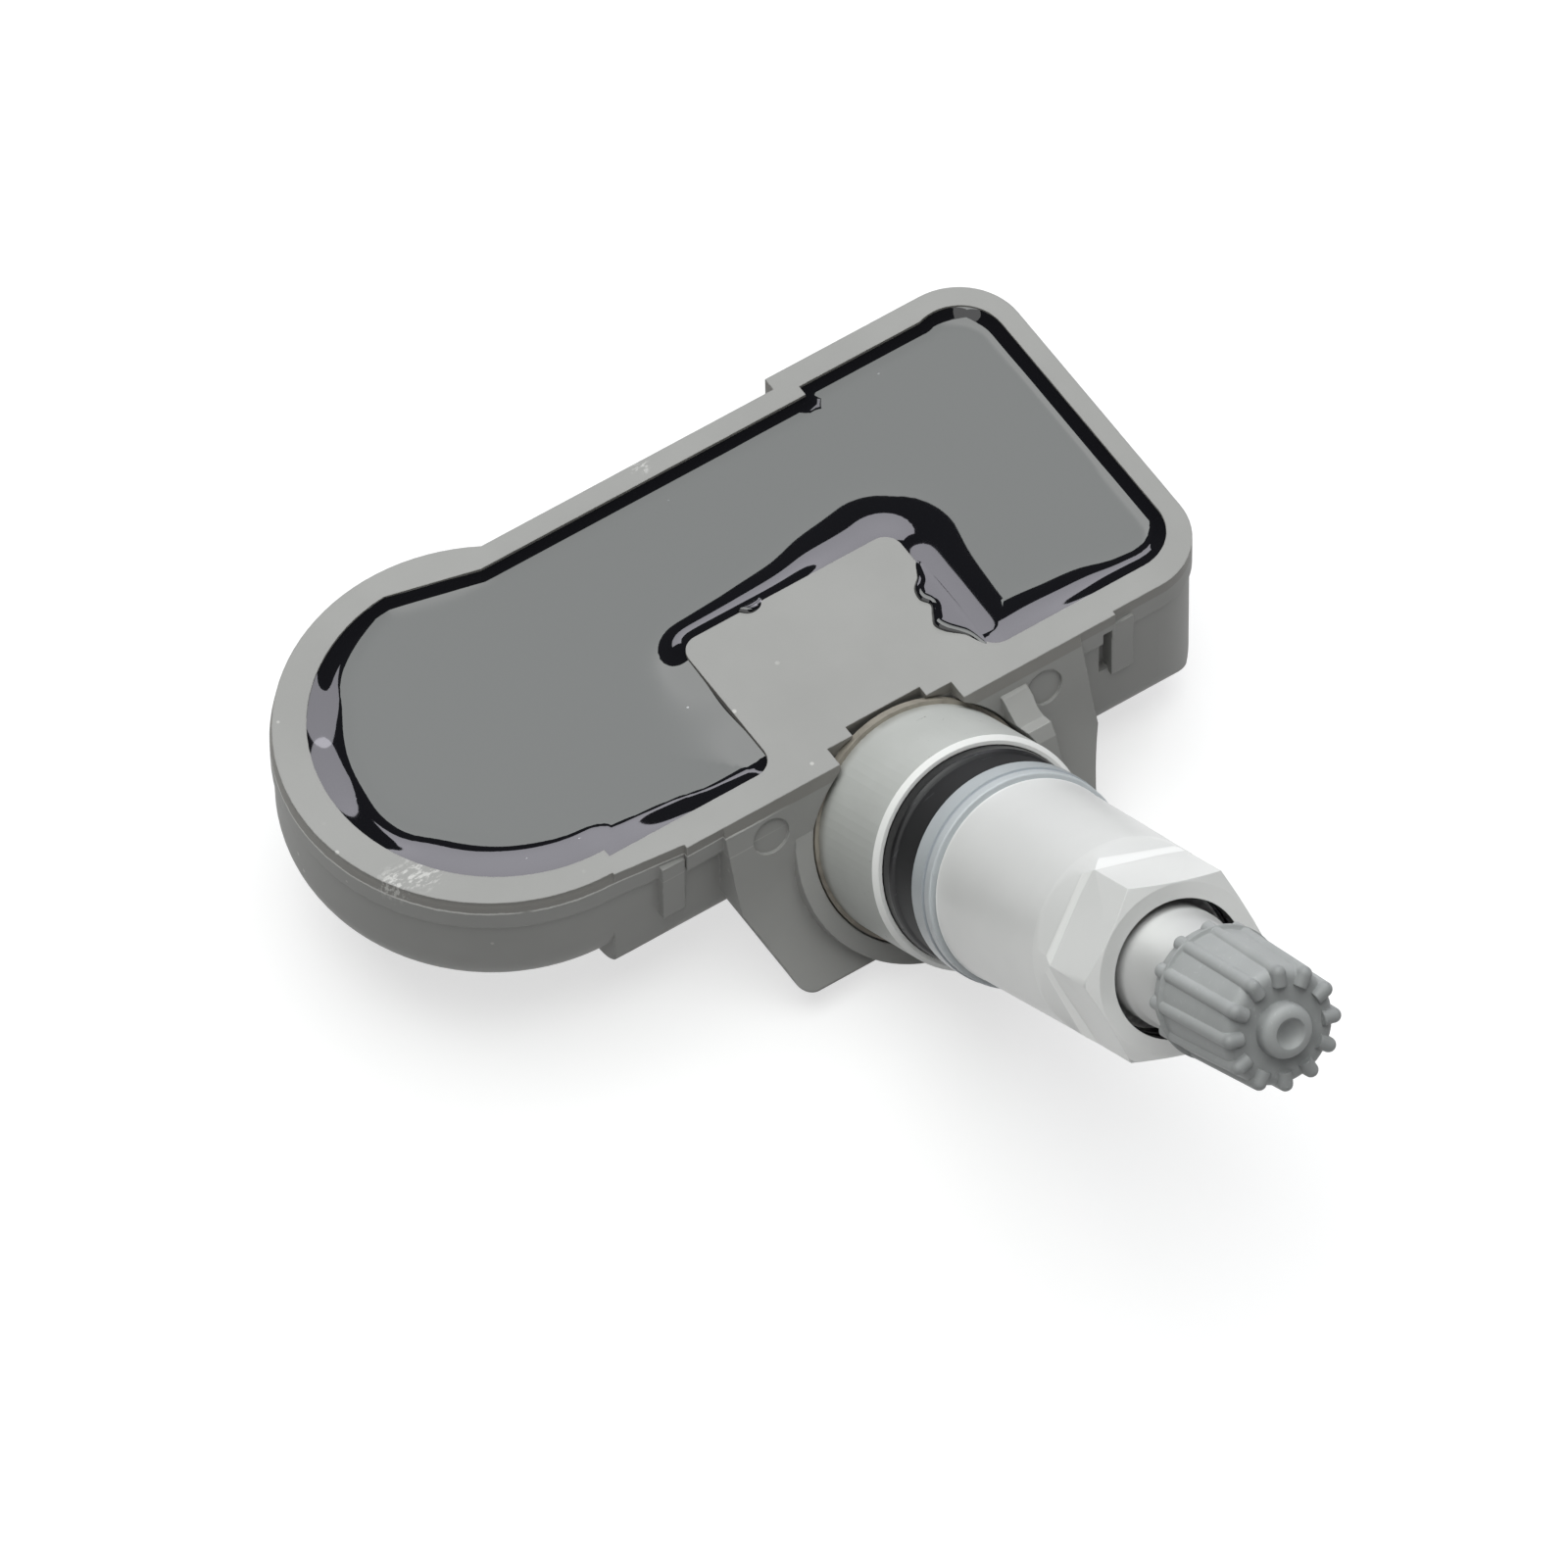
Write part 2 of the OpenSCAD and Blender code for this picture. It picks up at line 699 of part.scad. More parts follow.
// The stem as one turning: collar, mounting thread, neck and cap thread
air_floor = collar_base + screw_grip + 1.6;
core_floor = tip_end - 10;
module stem() {
    chamfer = 0.35;
    color(light_metal) along_stem() difference() {
        rotate_extrude() polygon([
            [0, collar_base], [collar_r, collar_base], [collar_r, collar_rim - chamfer],
            [collar_r - chamfer, collar_rim], [collar_r - collar_wall, collar_rim],
            [collar_r - collar_wall, cup_floor], [shank_r, cup_floor],
            [shank_r, shank_len - 0.4], [shank_r - 0.25, shank_len], [neck_r, shank_len + 0.15],
            [neck_r, tip_start], [tip_r, tip_start + 0.4], [tip_r, tip_end - 1.4],
            [tip_r - 0.5, tip_end], [0, tip_end]
        ]);
        // Seat of the valve core, with its cone, and the air passage
        translate([0, 0, core_floor]) cylinder(r = core_bore_r, h = tip_end - core_floor + 1);
        translate([0, 0, core_floor - 1]) cylinder(r1 = core_bore_r - 0.8, r2 = core_bore_r, h = 1 + eps);
        translate([0, 0, air_floor]) cylinder(r = air_r, h = tip_end - air_floor);
        // Cross hole that lets the air out below the collar
        translate([0, 0, air_floor + air_r]) rotate([90, 0, 0]) cylinder(r = air_r * 0.8, h = collar_r + 2);
        // Tapped hole for the fixing screw
        translate([0, 0, collar_base - 1]) cylinder(r = screw_r + run_gap, h = screw_grip + 1.3);
    }
}

// Rubber grommet: a tapered seat in the collar's cup and a neck that fills the wheel's hole
grommet_r = collar_r - collar_wall - face_gap;
grommet_neck_len = 2.4;
module grommet() {
    ridge = 3.2;
    neck = wheel_hole_d / 2;
    color([0.09, 0.09, 0.09]) along_stem() rotate_extrude() polygon([
        [shank_r + run_gap, cup_floor], [grommet_r, cup_floor], [grommet_r, -ridge - 0.2],
        [grommet_r - 0.12, -ridge], [grommet_r - 0.3, -ridge + 0.15], [neck + 1.7, -0.25],
        [neck + 1.4, 0], [neck, 0], [neck, grommet_neck_len - 0.3],
        [neck - 0.3, grommet_neck_len], [shank_r + run_gap, grommet_neck_len]
    ]);
}

module slip_washer() {
    inner = wheel_hole_d / 2 + loose_gap;
    line = washer_t * 0.63;
    color([0.70, 0.72, 0.75]) along_stem() rotate_extrude() polygon([
        [inner, 0], [washer_r - 0.1, 0], [washer_r, 0.1], [washer_r, line - 0.05],
        [washer_r - 0.15, line], [washer_r - 0.15, line + 0.1], [washer_r - 0.1, line + 0.15],
        [washer_r - 0.1, washer_t - 0.1], [washer_r - 0.2, washer_t], [inner, washer_t]
    ]);
}

// Nut: a long sleeve with a hexagon milled into its outer end
hex_runout = 2.4;
module nut() {
    foot_h = 0.45;
    chamfer_h = 0.5;
    face_r = 6.4;
    color(light_metal) along_stem() difference() {
        rotate_extrude() polygon([
            [shank_r + run_gap, nut_foot], [nut_foot_r - 0.25, nut_foot],
            [nut_foot_r, nut_foot + 0.25], [nut_foot_r - 0.05, nut_foot + foot_h],
            [hex_r, hex_start - hex_runout], [hex_r, nut_end - chamfer_h],
            [face_r, nut_end], [shank_r + run_gap, nut_end]
        ]);
        for (i = [0 : 5]) rotate(nut_turn + 30 + 60 * i) nut_flat();
        // Room for the grommet's neck
        translate([0, 0, nut_foot - 1])
            cylinder(r = wheel_hole_d / 2 + loose_gap, h = 1 + grommet_neck_len + loose_gap);
        // Mouth, wider than the thread
        translate([0, 0, nut_end - 3]) cylinder(r = nut_mouth_r, h = 4);
    }
}

// What one pass of the cutter takes off: a flat with a sloping run-out
module nut_flat() {
    d = nut_flats / 2;
    rise = hex_r - d;
    far = 3;
    translate([0, hex_r, 0]) rotate([90, 0, 0]) linear_extrude(height = 2 * hex_r)
        polygon([
            [d, hex_start], [d, nut_end + 1], [d + far, nut_end + 1],
            [d + far, hex_start - hex_runout * far / rise]
        ]);
}

// Valve core

core_top = tip_end - 0.6;
barrel_len = 7;
barrel_r = core_bore_r - run_gap;
barrel_low = core_top - barrel_len;
barrel_web = 2;
pin_r = 0.6;
spring_wire = 0.24;
spring_r = 1.3;
spring_room_r = spring_r + spring_wire + 0.15;

module core_barrel() {
    head_t = 2.6;
    color("goldenrod") along_stem() difference() {
        union() {
            translate([0, 0, core_top - head_t]) cylinder(r = barrel_r, h = head_t);
            translate([0, 0, barrel_low]) cylinder(r = barrel_r - 0.45, h = barrel_len - head_t + eps);
        }
        translate([0, 0, barrel_low - 1]) cylinder(r = pin_r + loose_gap, h = barrel_len + 2);
        // Room for the spring, open at the top
        translate([0, 0, barrel_low + barrel_web]) cylinder(r = spring_room_r, h = barrel_len);
        // Slots in the head for the core tool
        for (side = [-1, 1]) translate([side * (barrel_r + 0.3), 0, core_top])
            cube([1.6, 1, 2.4], center = true);
    }
}

module core_gasket() {
    gasket_t = 1.2;
    color([0.75, 0.15, 0.12]) along_stem() translate([0, 0, barrel_low + 0.6]) difference() {
        cylinder(r = barrel_r, h = gasket_t);
        translate([0, 0, -eps]) cylinder(r = barrel_r - 0.45, h = gasket_t + 2 * eps);
    }
}

// Points of the spring's wire, ring by ring
spring_low = barrel_low + barrel_web;
spring_high = core_top - 1.5;
spring_steps = 14;
spring_sides = 6;
function spring_point(i, j) =
    let (turn = 360 * i / spring_steps, side = 360 * j / spring_sides,
         r = spring_r + spring_wire * cos(side),
         z = spring_low + spring_wire + (spring_high - spring_low - 2 * spring_wire)
             * i / (spring_turns * spring_steps))
    [r * cos(turn), r * sin(turn), z + spring_wire * sin(side)];
spring_rings = spring_turns * spring_steps;
spring_points = [
    for (i = [0 : spring_rings]) for (j = [0 : spring_sides - 1]) spring_point(i, j)
];
spring_faces = concat(
    [[for (j = [0 : spring_sides - 1]) j]],
    [for (i = [0 : spring_rings - 1]) for (j = [0 : spring_sides - 1])
        let (k = (j + 1) % spring_sides, a = i * spring_sides)
        [a + j, a + spring_sides + j, a + spring_sides + k, a + k]],
    [[for (j = [0 : spring_sides - 1]) spring_rings * spring_sides + spring_sides - 1 - j]]
);
module core_spring() {
    color("silver") along_stem() polyhedron(points = spring_points, faces = spring_faces);
}

// The pin, its collar over the spring and the cup at its foot that closes the core
pin_cup_r = 1.75;
pin_cup_t = 0.7;
pin_seal_t = 0.4;
pin_seal_z = barrel_low - face_gap - pin_seal_t;
module core_pin() {
    collar_t = 0.6;
    foot = pin_seal_z - pin_cup_t;
    color("goldenrod") along_stem() {
        translate([0, 0, foot]) cylinder(r = pin_r, h = tip_end - 0.3 - foot);
        translate([0, 0, foot]) cylinder(r = pin_cup_r, h = pin_cup_t);
        translate([0, 0, spring_high + face_gap]) cylinder(r = spring_r + spring_wire, h = collar_t);
    }
}

module pin_seal() {
    color([0.12, 0.12, 0.12]) along_stem() translate([0, 0, pin_seal_z]) difference() {
        cylinder(r = pin_cup_r - 0.1, h = pin_seal_t);
        translate([0, 0, -eps]) cylinder(r = pin_r, h = pin_seal_t + 2 * eps);
    }
}

// Cap

cap_bore_r = tip_r + run_gap;
cap_seal_t = 0.7;
cap_rib_r = 0.55;
cap_rib_rise = 0.32;
cap_recess = 0.55;
cap_edge_r = 0.9;
cap_line_w = 0.2;
module cap() {
    color(cap_grey) along_stem() difference() {
        union() {
            rotate_extrude() cap_profile();
            for (i = [0 : cap_ribs - 1]) rotate(360 * (i + 0.5) / cap_ribs) cap_rib();
            translate([0, 0, cap_end - cap_recess - eps]) rotate_extrude() cap_boss();
        }
        // Crater in the boss
        translate([0, 0, cap_end - cap_recess + cap_boss_h + cap_crater_r - cap_crater_depth])
            sphere(r = cap_crater_r);
        translate([0, 0, cap_open - 1]) cylinder(r = cap_bore_r, h = tip_end + cap_seal_t - cap_open + 1);
        // The skirt passes over the end of the neck
        translate([0, 0, cap_open - 1]) cylinder(r = neck_r + loose_gap, h = tip_start + 0.5 - cap_open + 1);
    }
}

// Half section of the cap's body: skirt, raised line, taper and rounded front edge
module cap_profile() {
    front = cap_end - cap_recess;
    body_r = cap_r - cap_rib_rise;
    tip_body_r = cap_tip_r - cap_rib_rise;
    translate([tip_body_r - cap_edge_r, front - cap_edge_r]) circle(r = cap_edge_r);
    polygon([
        [0, cap_open], [body_r - 0.1, cap_open], [body_r, cap_line - cap_line_w],
        [cap_r, cap_line - cap_line_w / 2], [cap_r, cap_line + cap_line_w / 2], [body_r, cap_line + cap_line_w],
        [tip_body_r, front - cap_edge_r], [tip_body_r - cap_edge_r, front], [0, front]
    ]);
}

// Half section of the boss, with a rounded edge
cap_boss_h = 1.35;
cap_crater_r = 1.3;
cap_crater_depth = 0.7;
module cap_boss() {
    edge = cap_boss_r * 0.42;
    square([cap_boss_r, cap_boss_h - edge]);
    square([cap_boss_r - edge, cap_boss_h]);
    translate([cap_boss_r - edge, cap_boss_h - edge]) circle(r = edge);
}

// One rib: a rod along the taper that turns inwards over the front edge
module cap_rib() {
    r = cap_rib_r;
    low = [cap_r - r, 0, cap_open];
    high = [cap_tip_r - r, 0, cap_end - r];
    run = high - low;
    translate(low) rotate([0, atan2(run.x, run.z), 0]) cylinder(r = r, h = norm(run));
    translate(high) sphere(r = r);
    translate(high) rotate([0, -90, 0]) cylinder(r = r, h = cap_finger);
}

module cap_seal() {
    color([0.10, 0.10, 0.10]) along_stem() translate([0, 0, tip_end + face_gap]) difference() {
        cylinder(r = tip_r - 0.1, h = cap_seal_t - face_gap);
        translate([0, 0, -eps]) cylinder(r = 1, h = cap_seal_t);
    }
}

housing();
potting();
circuit_board();
battery_cell();
battery_tab_top();
battery_tab_bottom();
sensor_chip();
port_seal();
crystal();
coil_core();
coil_winding();
capacitors();
resistors();
antenna_strip();
seat_ring();
fixing_screw();
stem();
grommet();
slip_washer();
nut();
core_barrel();
core_gasket();
core_spring();
core_pin();
pin_seal();
cap();
cap_seal();
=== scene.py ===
"""Looks of the clamp-in tyre pressure sensor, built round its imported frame. Metres throughout."""
import json
import math

import bmesh
import bpy
import numpy as np
from mathutils import Matrix, Vector
from mathutils.geometry import delaunay_2d_cdt


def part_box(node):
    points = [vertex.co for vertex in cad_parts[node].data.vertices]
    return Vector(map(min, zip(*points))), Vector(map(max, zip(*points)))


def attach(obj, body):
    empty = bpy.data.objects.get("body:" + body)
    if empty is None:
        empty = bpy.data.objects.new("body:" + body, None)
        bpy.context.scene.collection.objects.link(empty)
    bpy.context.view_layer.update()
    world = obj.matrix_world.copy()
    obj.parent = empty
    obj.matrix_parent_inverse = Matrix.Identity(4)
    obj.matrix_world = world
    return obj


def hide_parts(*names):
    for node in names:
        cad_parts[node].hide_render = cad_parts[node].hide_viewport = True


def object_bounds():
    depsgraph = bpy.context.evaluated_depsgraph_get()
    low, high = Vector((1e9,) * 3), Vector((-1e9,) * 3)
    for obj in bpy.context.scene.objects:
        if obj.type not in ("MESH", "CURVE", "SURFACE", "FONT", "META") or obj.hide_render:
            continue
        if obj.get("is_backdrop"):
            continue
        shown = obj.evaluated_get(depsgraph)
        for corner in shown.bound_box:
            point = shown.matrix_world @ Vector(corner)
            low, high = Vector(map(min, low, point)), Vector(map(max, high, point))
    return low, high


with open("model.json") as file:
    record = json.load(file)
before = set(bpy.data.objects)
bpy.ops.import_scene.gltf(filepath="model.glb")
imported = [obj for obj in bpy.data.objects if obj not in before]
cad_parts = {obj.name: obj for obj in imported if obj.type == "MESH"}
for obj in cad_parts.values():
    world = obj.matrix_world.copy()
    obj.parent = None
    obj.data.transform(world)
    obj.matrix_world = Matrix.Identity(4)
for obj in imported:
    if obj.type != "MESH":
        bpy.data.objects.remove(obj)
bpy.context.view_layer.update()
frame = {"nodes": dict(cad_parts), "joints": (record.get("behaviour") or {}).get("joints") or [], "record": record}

MM = 0.001
NODES = frame["nodes"]

# Directions of the stem: out along it, across it and up from it
joint = {j["name"]: j for j in frame["joints"]}
OUT = Vector(joint["nut_turn"]["axis"]).normalized()
ACROSS = Vector((1, 0, 0))
UP = OUT.cross(ACROSS)
if UP.z < 0:
    UP = -UP


# Shader maths

class Field:
    """A shader socket on which Python's operators work, each adding its Math node."""

    def __init__(self, finish, socket):
        self.finish = finish
        self.socket = socket

    def _maths(self, operation, *values):
        made = self.finish.node("ShaderNodeMath", {"operation": operation}, dict(enumerate(values)))
        return made["Value"]

    def __add__(self, other):
        return self._maths("ADD", self, other)

    def __sub__(self, other):
        return self._maths("SUBTRACT", self, other)

    def __rsub__(self, other):
        return self._maths("SUBTRACT", other, self)

    def __mul__(self, other):
        return self._maths("MULTIPLY", self, other)

    def __truediv__(self, other):
        return self._maths("DIVIDE", self, other)

    def __pow__(self, other):
        return self._maths("POWER", self, other)

    def __neg__(self):
        return self * -1

    __radd__ = __add__
    __rmul__ = __mul__

    def clamp(self):
        made = self.finish.node("ShaderNodeClamp", {}, {"Value": self})
        return made["Result"]

    def step(self, low, high):
        """0 below low, 1 above high, smooth between."""
        settings = {"interpolation_type": "SMOOTHSTEP"}
        sockets = {"Value": self, "From Min": low, "From Max": high, "To Min": 0, "To Max": 1}
        return self.finish.node("ShaderNodeMapRange", settings, sockets)["Result"]

    def band(self, middle, half, soft):
        """1 within half of the middle, fading to 0 over soft."""
        away = self._maths("ABSOLUTE", self - middle)
        return 1 - away.step(half, half + soft)

    def sine(self):
        return self._maths("SINE", self)


class Made:
    """A node just made, whose outputs are read by name."""

    def __init__(self, finish, node):
        self.finish = finish
        self.node = node

    def __getitem__(self, name):
        return Field(self.finish, self.node.outputs[name])


class Finish:
    """One material and its nodes."""

    def __init__(self, name):
        self.material = bpy.data.materials.new(name)
        self.material.use_nodes = True
        self.tree = self.material.node_tree
        self.tree.nodes.clear()
        place = self.node("ShaderNodeTexCoord")
        self.place = place["Object"]

    def node(self, kind, settings=None, sockets=None):
        made = self.tree.nodes.new(kind)
        for name, value in (settings or {}).items():
            if name == "stops":
                self._set_stops(made.color_ramp, value)
            else:
                setattr(made, name, value)
        for name, value in (sockets or {}).items():
            target = made.inputs[name]
            if isinstance(value, Field):
                self.tree.links.new(value.socket, target)
            else:
                target.default_value = value
        return Made(self, made)

    def _set_stops(self, ramp, stops):
        while len(ramp.elements) < len(stops):
            ramp.elements.new(0.5)
        for element, (at, colour) in zip(ramp.elements, stops):
            element.position = at
            element.color = (*colour, 1)

    def noise(self, scale, detail=2.0, rough=0.5, place=None, distortion=0.0):
        sockets = {"Vector": place or self.place, "Scale": scale, "Detail": detail,
                   "Roughness": rough, "Distortion": distortion}
        return self.node("ShaderNodeTexNoise", {}, sockets)["Fac"]

    def specks(self, scale, size, place=None):
        """1 inside small round specks, one in some of the cells."""
        place = place or self.place
        cells = self.node("ShaderNodeTexVoronoi", {}, {"Vector": place, "Scale": scale})
        return 1 - cells["Distance"].step(size * 0.6, size)

    def mix(self, share, first, second):
        """A colour that goes from the first to the second as share goes from 0 to 1."""
        sockets = {0: share, 6: colour(first), 7: colour(second)}
        return self.node("ShaderNodeMix", {"data_type": "RGBA"}, sockets)[2]

    def along(self, direction):
        """Distance along a direction, in millimetres."""
        sockets = {0: self.place, 1: tuple(v / MM for v in direction)}
        return self.node("ShaderNodeVectorMath", {"operation": "DOT_PRODUCT"}, sockets)["Value"]

    def stretched(self, factors):
        """The place, scaled by a factor for each axis."""
        sockets = {0: self.place, 1: factors}
        return self.node("ShaderNodeVectorMath", {"operation": "MULTIPLY"}, sockets)["Vector"]

    def bump(self, height, depth, strength=1.0, normal=None):
        """A Bump node; depth is the real height of a full step, in metres."""
        sockets = {"Height": height, "Distance": depth, "Strength": strength}
        if normal is not None:
            sockets["Normal"] = normal
        return self.node("ShaderNodeBump", {}, sockets)["Normal"]

    def rounded(self, radius):
        """Normals that round off sharp edges."""
        return self.node("ShaderNodeBevel", {"samples": 6}, {"Radius": radius})["Normal"]

    def stem_radius(self):
        """Distance from the stem's axis, in millimetres."""
        sockets = {0: self.place, 1: tuple(OUT)}
        along = self.node("ShaderNodeVectorMath", {"operation": "PROJECT"}, sockets)["Vector"]
        off = self.node("ShaderNodeVectorMath", {"operation": "SUBTRACT"}, {0: self.place, 1: along})["Vector"]
        return self.node("ShaderNodeVectorMath", {"operation": "LENGTH"}, {0: off})["Value"] * (1 / MM)

    def facing(self, direction):
        """How far the surface faces a direction, from -1 to 1."""
        normal = self.node("ShaderNodeTexCoord")["Normal"]
        sockets = {0: normal, 1: tuple(direction)}
        return self.node("ShaderNodeVectorMath", {"operation": "DOT_PRODUCT"}, sockets)["Value"]

    def edges(self, radius):
        """1 along sharp edges, 0 on open faces."""
        flat = self.node("ShaderNodeNewGeometry")["Normal"]
        sockets = {0: self.rounded(radius), 1: flat}
        same = self.node("ShaderNodeVectorMath", {"operation": "DOT_PRODUCT"}, sockets)["Value"]
        return (1 - same).step(0.01, 0.16)

    def surface(self, **inputs):
        """The Principled shader, linked to the output."""
        sockets = {name.replace("_", " "): value for name, value in inputs.items()}
        sockets = {name: colour(v) if name.endswith("Color") else v for name, v in sockets.items()}
        shader = self.node("ShaderNodeBsdfPrincipled", {}, sockets)
        self.node("ShaderNodeOutputMaterial", {}, {"Surface": shader["BSDF"]})
        return self.material


def colour(value):
    """A colour socket's value: a link, or three numbers with an alpha added."""
    if isinstance(value, Field):
        return value
    return (*value, 1) if len(value) == 3 else value


# Finishes

RESIN = (0.365, 0.362, 0.352)
RESIN_DARK = (0.325, 0.322, 0.313)
RESIN_PALE = (0.62, 0.61, 0.59)
HOUSING_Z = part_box("housing")[1].z
HOUSING_Y = 14.169 * MM
COLLAR_BASE = 12.85
CAP_FRONT = 40.2
# Scratched places on the housing's rim and wall, each with its reach in millimetres
SCUFFS = [
    ((-35.4 * MM, 8.8 * MM + HOUSING_Y, HOUSING_Z - 0.3 * MM), 2.2),
    ((-37.4 * MM, 9.2 * MM + HOUSING_Y, HOUSING_Z - 0.5 * MM), 1.8),
    ((-2.7 * MM, 30.2 * MM + HOUSING_Y, HOUSING_Z), 1.0),
]


def moulded_resin():
    """Grey moulded resin: fine grain, faint clouds, pale dust, rubbed edges with a painted highlight along them, a
    ragged parting line, a painted highlight along the band's lower edge and painted shade under the rim's top.
    """
    f = Finish("grey_resin")
    clouds = f.noise(55, 4, 0.6)
    grain = f.noise(2600, 2, 0.6)
    ragged = f.noise(900, 4, 0.7)
    dust = f.specks(420, 0.09) * f.noise(160).step(0.52, 0.62)
    base = f.mix(clouds.step(0.3, 0.75), RESIN_DARK, RESIN)
    height = f.along(Vector((0, 0, 1))) - HOUSING_Z / MM
    side = 1 - f.facing(Vector((0, 0, 1))).step(0.5, 0.9)
    # Painted shade: the side faces just under the rim's top, darkened towards brown.
    shoulder_shade = height.band(-0.55, 0.5, 0.1) * side
    base = f.mix(shoulder_shade * 0.5, base, (0.20, 0.185, 0.165))
    # Rubbed edges, partly real wear and partly a painted highlight: pale resin along the sharp edges, in ragged
    # patches.
    rubbed_and_highlit = f.edges(0.12 * MM) * ragged.step(0.42, 0.62)
    base = f.mix(rubbed_and_highlit * 0.7, base, RESIN_PALE)
    x = f.along(Vector((1, 0, 0)))
    round_end = 1 - x.step(-14, -9)
    wander = (ragged - 0.5) * 0.25
    flash = (height + wander).band(-1.1, 0.05, 0.07) * side * round_end * f.noise(240, 3, 0.6).step(0.32, 0.46)
    base = f.mix(flash * 0.8, base, (0.78, 0.77, 0.75))
    # Painted highlight: a thin pale line along the band's lower edge on the round end.
    lower_edge_highlight = (height + wander * 0.4).band(-2.85, 0.02, 0.05) * side * round_end
    base = f.mix(lower_edge_highlight * 0.4, base, (0.60, 0.59, 0.57))
    for spot, reach in SCUFFS:
        off = f.node("ShaderNodeVectorMath", {"operation": "DISTANCE"}, {0: f.place, 1: spot})["Value"] * (1 / MM)
        streaks = f.noise(1500, 4, 0.75, f.stretched((1.0, 2.2, 1.0))).step(0.50, 0.60)
        base = f.mix((1 - off.step(reach * 0.3, reach)) * streaks * 0.6, base, (0.74, 0.73, 0.71))
    base = f.mix(dust * 0.7, base, RESIN_PALE)
    bumps = grain + rubbed_and_highlit * 0.4 + flash * 3
    normal = f.bump(bumps, 0.006 * MM, 1.0, f.rounded(0.16 * MM))
    rough = 0.52 + clouds * 0.1
    return f.surface(Base_Color=base, Roughness=rough, Normal=normal, IOR=1.45)


def potting_compound():
    """Glossy black cured compound with a few dust specks."""
    f = Finish("black_compound")
    dust = f.specks(300, 0.035) * f.noise(90).step(0.5, 0.6)
    base = f.mix(dust, (0.008, 0.008, 0.010), (0.35, 0.35, 0.37))
    rough = 0.03 + dust * 0.4
    wave = f.noise(130, 2, 0.4)
    return f.surface(Base_Color=base, Roughness=rough, Normal=f.bump(wave, 0.012 * MM), IOR=1.55,
                     Coat_Weight=1.0, Coat_Roughness=0.03, Coat_IOR=1.5)


def turned(name, base, rough, ring_depth, edge):
    """Turned aluminium: fine rings along the stem and a satin face."""
    f = Finish(name)
    s = f.along(OUT)
    rings = f.node("ShaderNodeTexNoise", {"noise_dimensions": "1D"}, {"W": s * 9, "Detail": 3})["Fac"]
    clouds = f.noise(150, 3, 0.6)
    shade = f.mix(clouds.step(0.3, 0.8), tuple(v * 0.93 for v in base), base)
    normal = f.bump(rings, ring_depth, 1.0, f.rounded(edge))
    return f.surface(Base_Color=shade, Metallic=1.0, Roughness=rough + rings * 0.08, Normal=normal)


def station(f):
    """Distance out along the stem from the wheel's seat, in millimetres."""
    return f.along(OUT)


def stem_aluminium():
    """The stem: a light, smooth coat on the collar with painted shade towards its base, its cut rim bare with a
    painted highlight that makes it near white, satin metal further out.
    """
    f = Finish("stem_aluminium")
    s = station(f)
    rings = f.node("ShaderNodeTexNoise", {"noise_dimensions": "1D"}, {"W": s * 7, "Detail": 3})["Fac"]
    clouds = f.noise(170, 3, 0.6)
    coat = f.mix(clouds.step(0.3, 0.8), (0.50, 0.51, 0.49), (0.54, 0.55, 0.53))
    scuffs = f.noise(700, 4, 0.7, f.stretched((1, 3, 1))).step(0.66, 0.70) * f.noise(95, 2, 0.5).step(0.56, 0.62)
    coat = f.mix(scuffs * 0.8, coat, (0.10, 0.10, 0.10))
    # Painted shade: the collar darkened in patches towards its base, where it meets the housing.
    collar_base_shade = (-s).step(COLLAR_BASE - 1.2, COLLAR_BASE) * clouds.step(0.3, 0.6)
    coat = f.mix(collar_base_shade * 0.6, coat, (0.16, 0.15, 0.13))
    # The cut rim: bare metal, its near-white colour a painted highlight.
    rim = s.step(-4.76, -4.68) * (1 - s.step(-4.2, -4.1))
    base = f.mix(rim, coat, (0.86, 0.86, 0.845))
    bare = s.step(0, 0.5)
    base = f.mix(bare, base, (0.58, 0.58, 0.575))
    rough = 0.44 + clouds * 0.1
    return f.surface(Base_Color=base, Metallic=0.02 + bare * 0.2, Roughness=rough,
                     Normal=f.bump(rings, 0.003 * MM, 1.0, f.rounded(0.1 * MM)))


def nut_metal(name, base, rough):
    """Satin aluminium of the nut, with fine turning marks, painted highlights on its hex flats and run-outs and
    painted shade inside its mouth.
    """
    f = Finish(name)
    s = station(f)
    rings = f.node("ShaderNodeTexNoise", {"noise_dimensions": "1D"}, {"W": s * 9, "Detail": 3})["Fac"]
    clouds = f.noise(120, 3, 0.6)
    shade = f.mix(clouds.step(0.3, 0.8), tuple(v * 0.96 for v in base), base)
    foot = 1 - s.step(3.02, 3.1)
    shade = f.mix(foot, shade, (0.88, 0.88, 0.87))
    # Painted highlight: the hex flats lightened.
    flats_highlight = s.step(16.9, 17.0) * (1 - f.facing(OUT).step(0.5, 0.6))
    # Painted highlight: the hex's run-outs, picked by the way they face, turned near white.
    runout_highlight = f.facing(OUT).band(0.385, 0.07, 0.04) * s.step(16.5, 16.6) * (1 - s.step(19.5, 19.6))
    shade = f.mix(runout_highlight, shade, (0.97, 0.97, 0.955))
    shade = f.mix(flats_highlight * 0.3, shade, (0.90, 0.90, 0.885))
    # Painted shade: the inside of the nut's mouth, round the stem, turned nearly black.
    inside = (1 - f.stem_radius().step(5.7, 5.8)) * s.step(21.9, 22.0) * (1 - s.step(24.8, 24.84))
    shade = f.mix(inside, shade, (0.035, 0.035, 0.035))
    return f.surface(Base_Color=shade, Metallic=0.22, Roughness=rough + rings * 0.08,
                     Normal=f.bump(rings, 0.002 * MM, 1.0, f.rounded(0.09 * MM)))


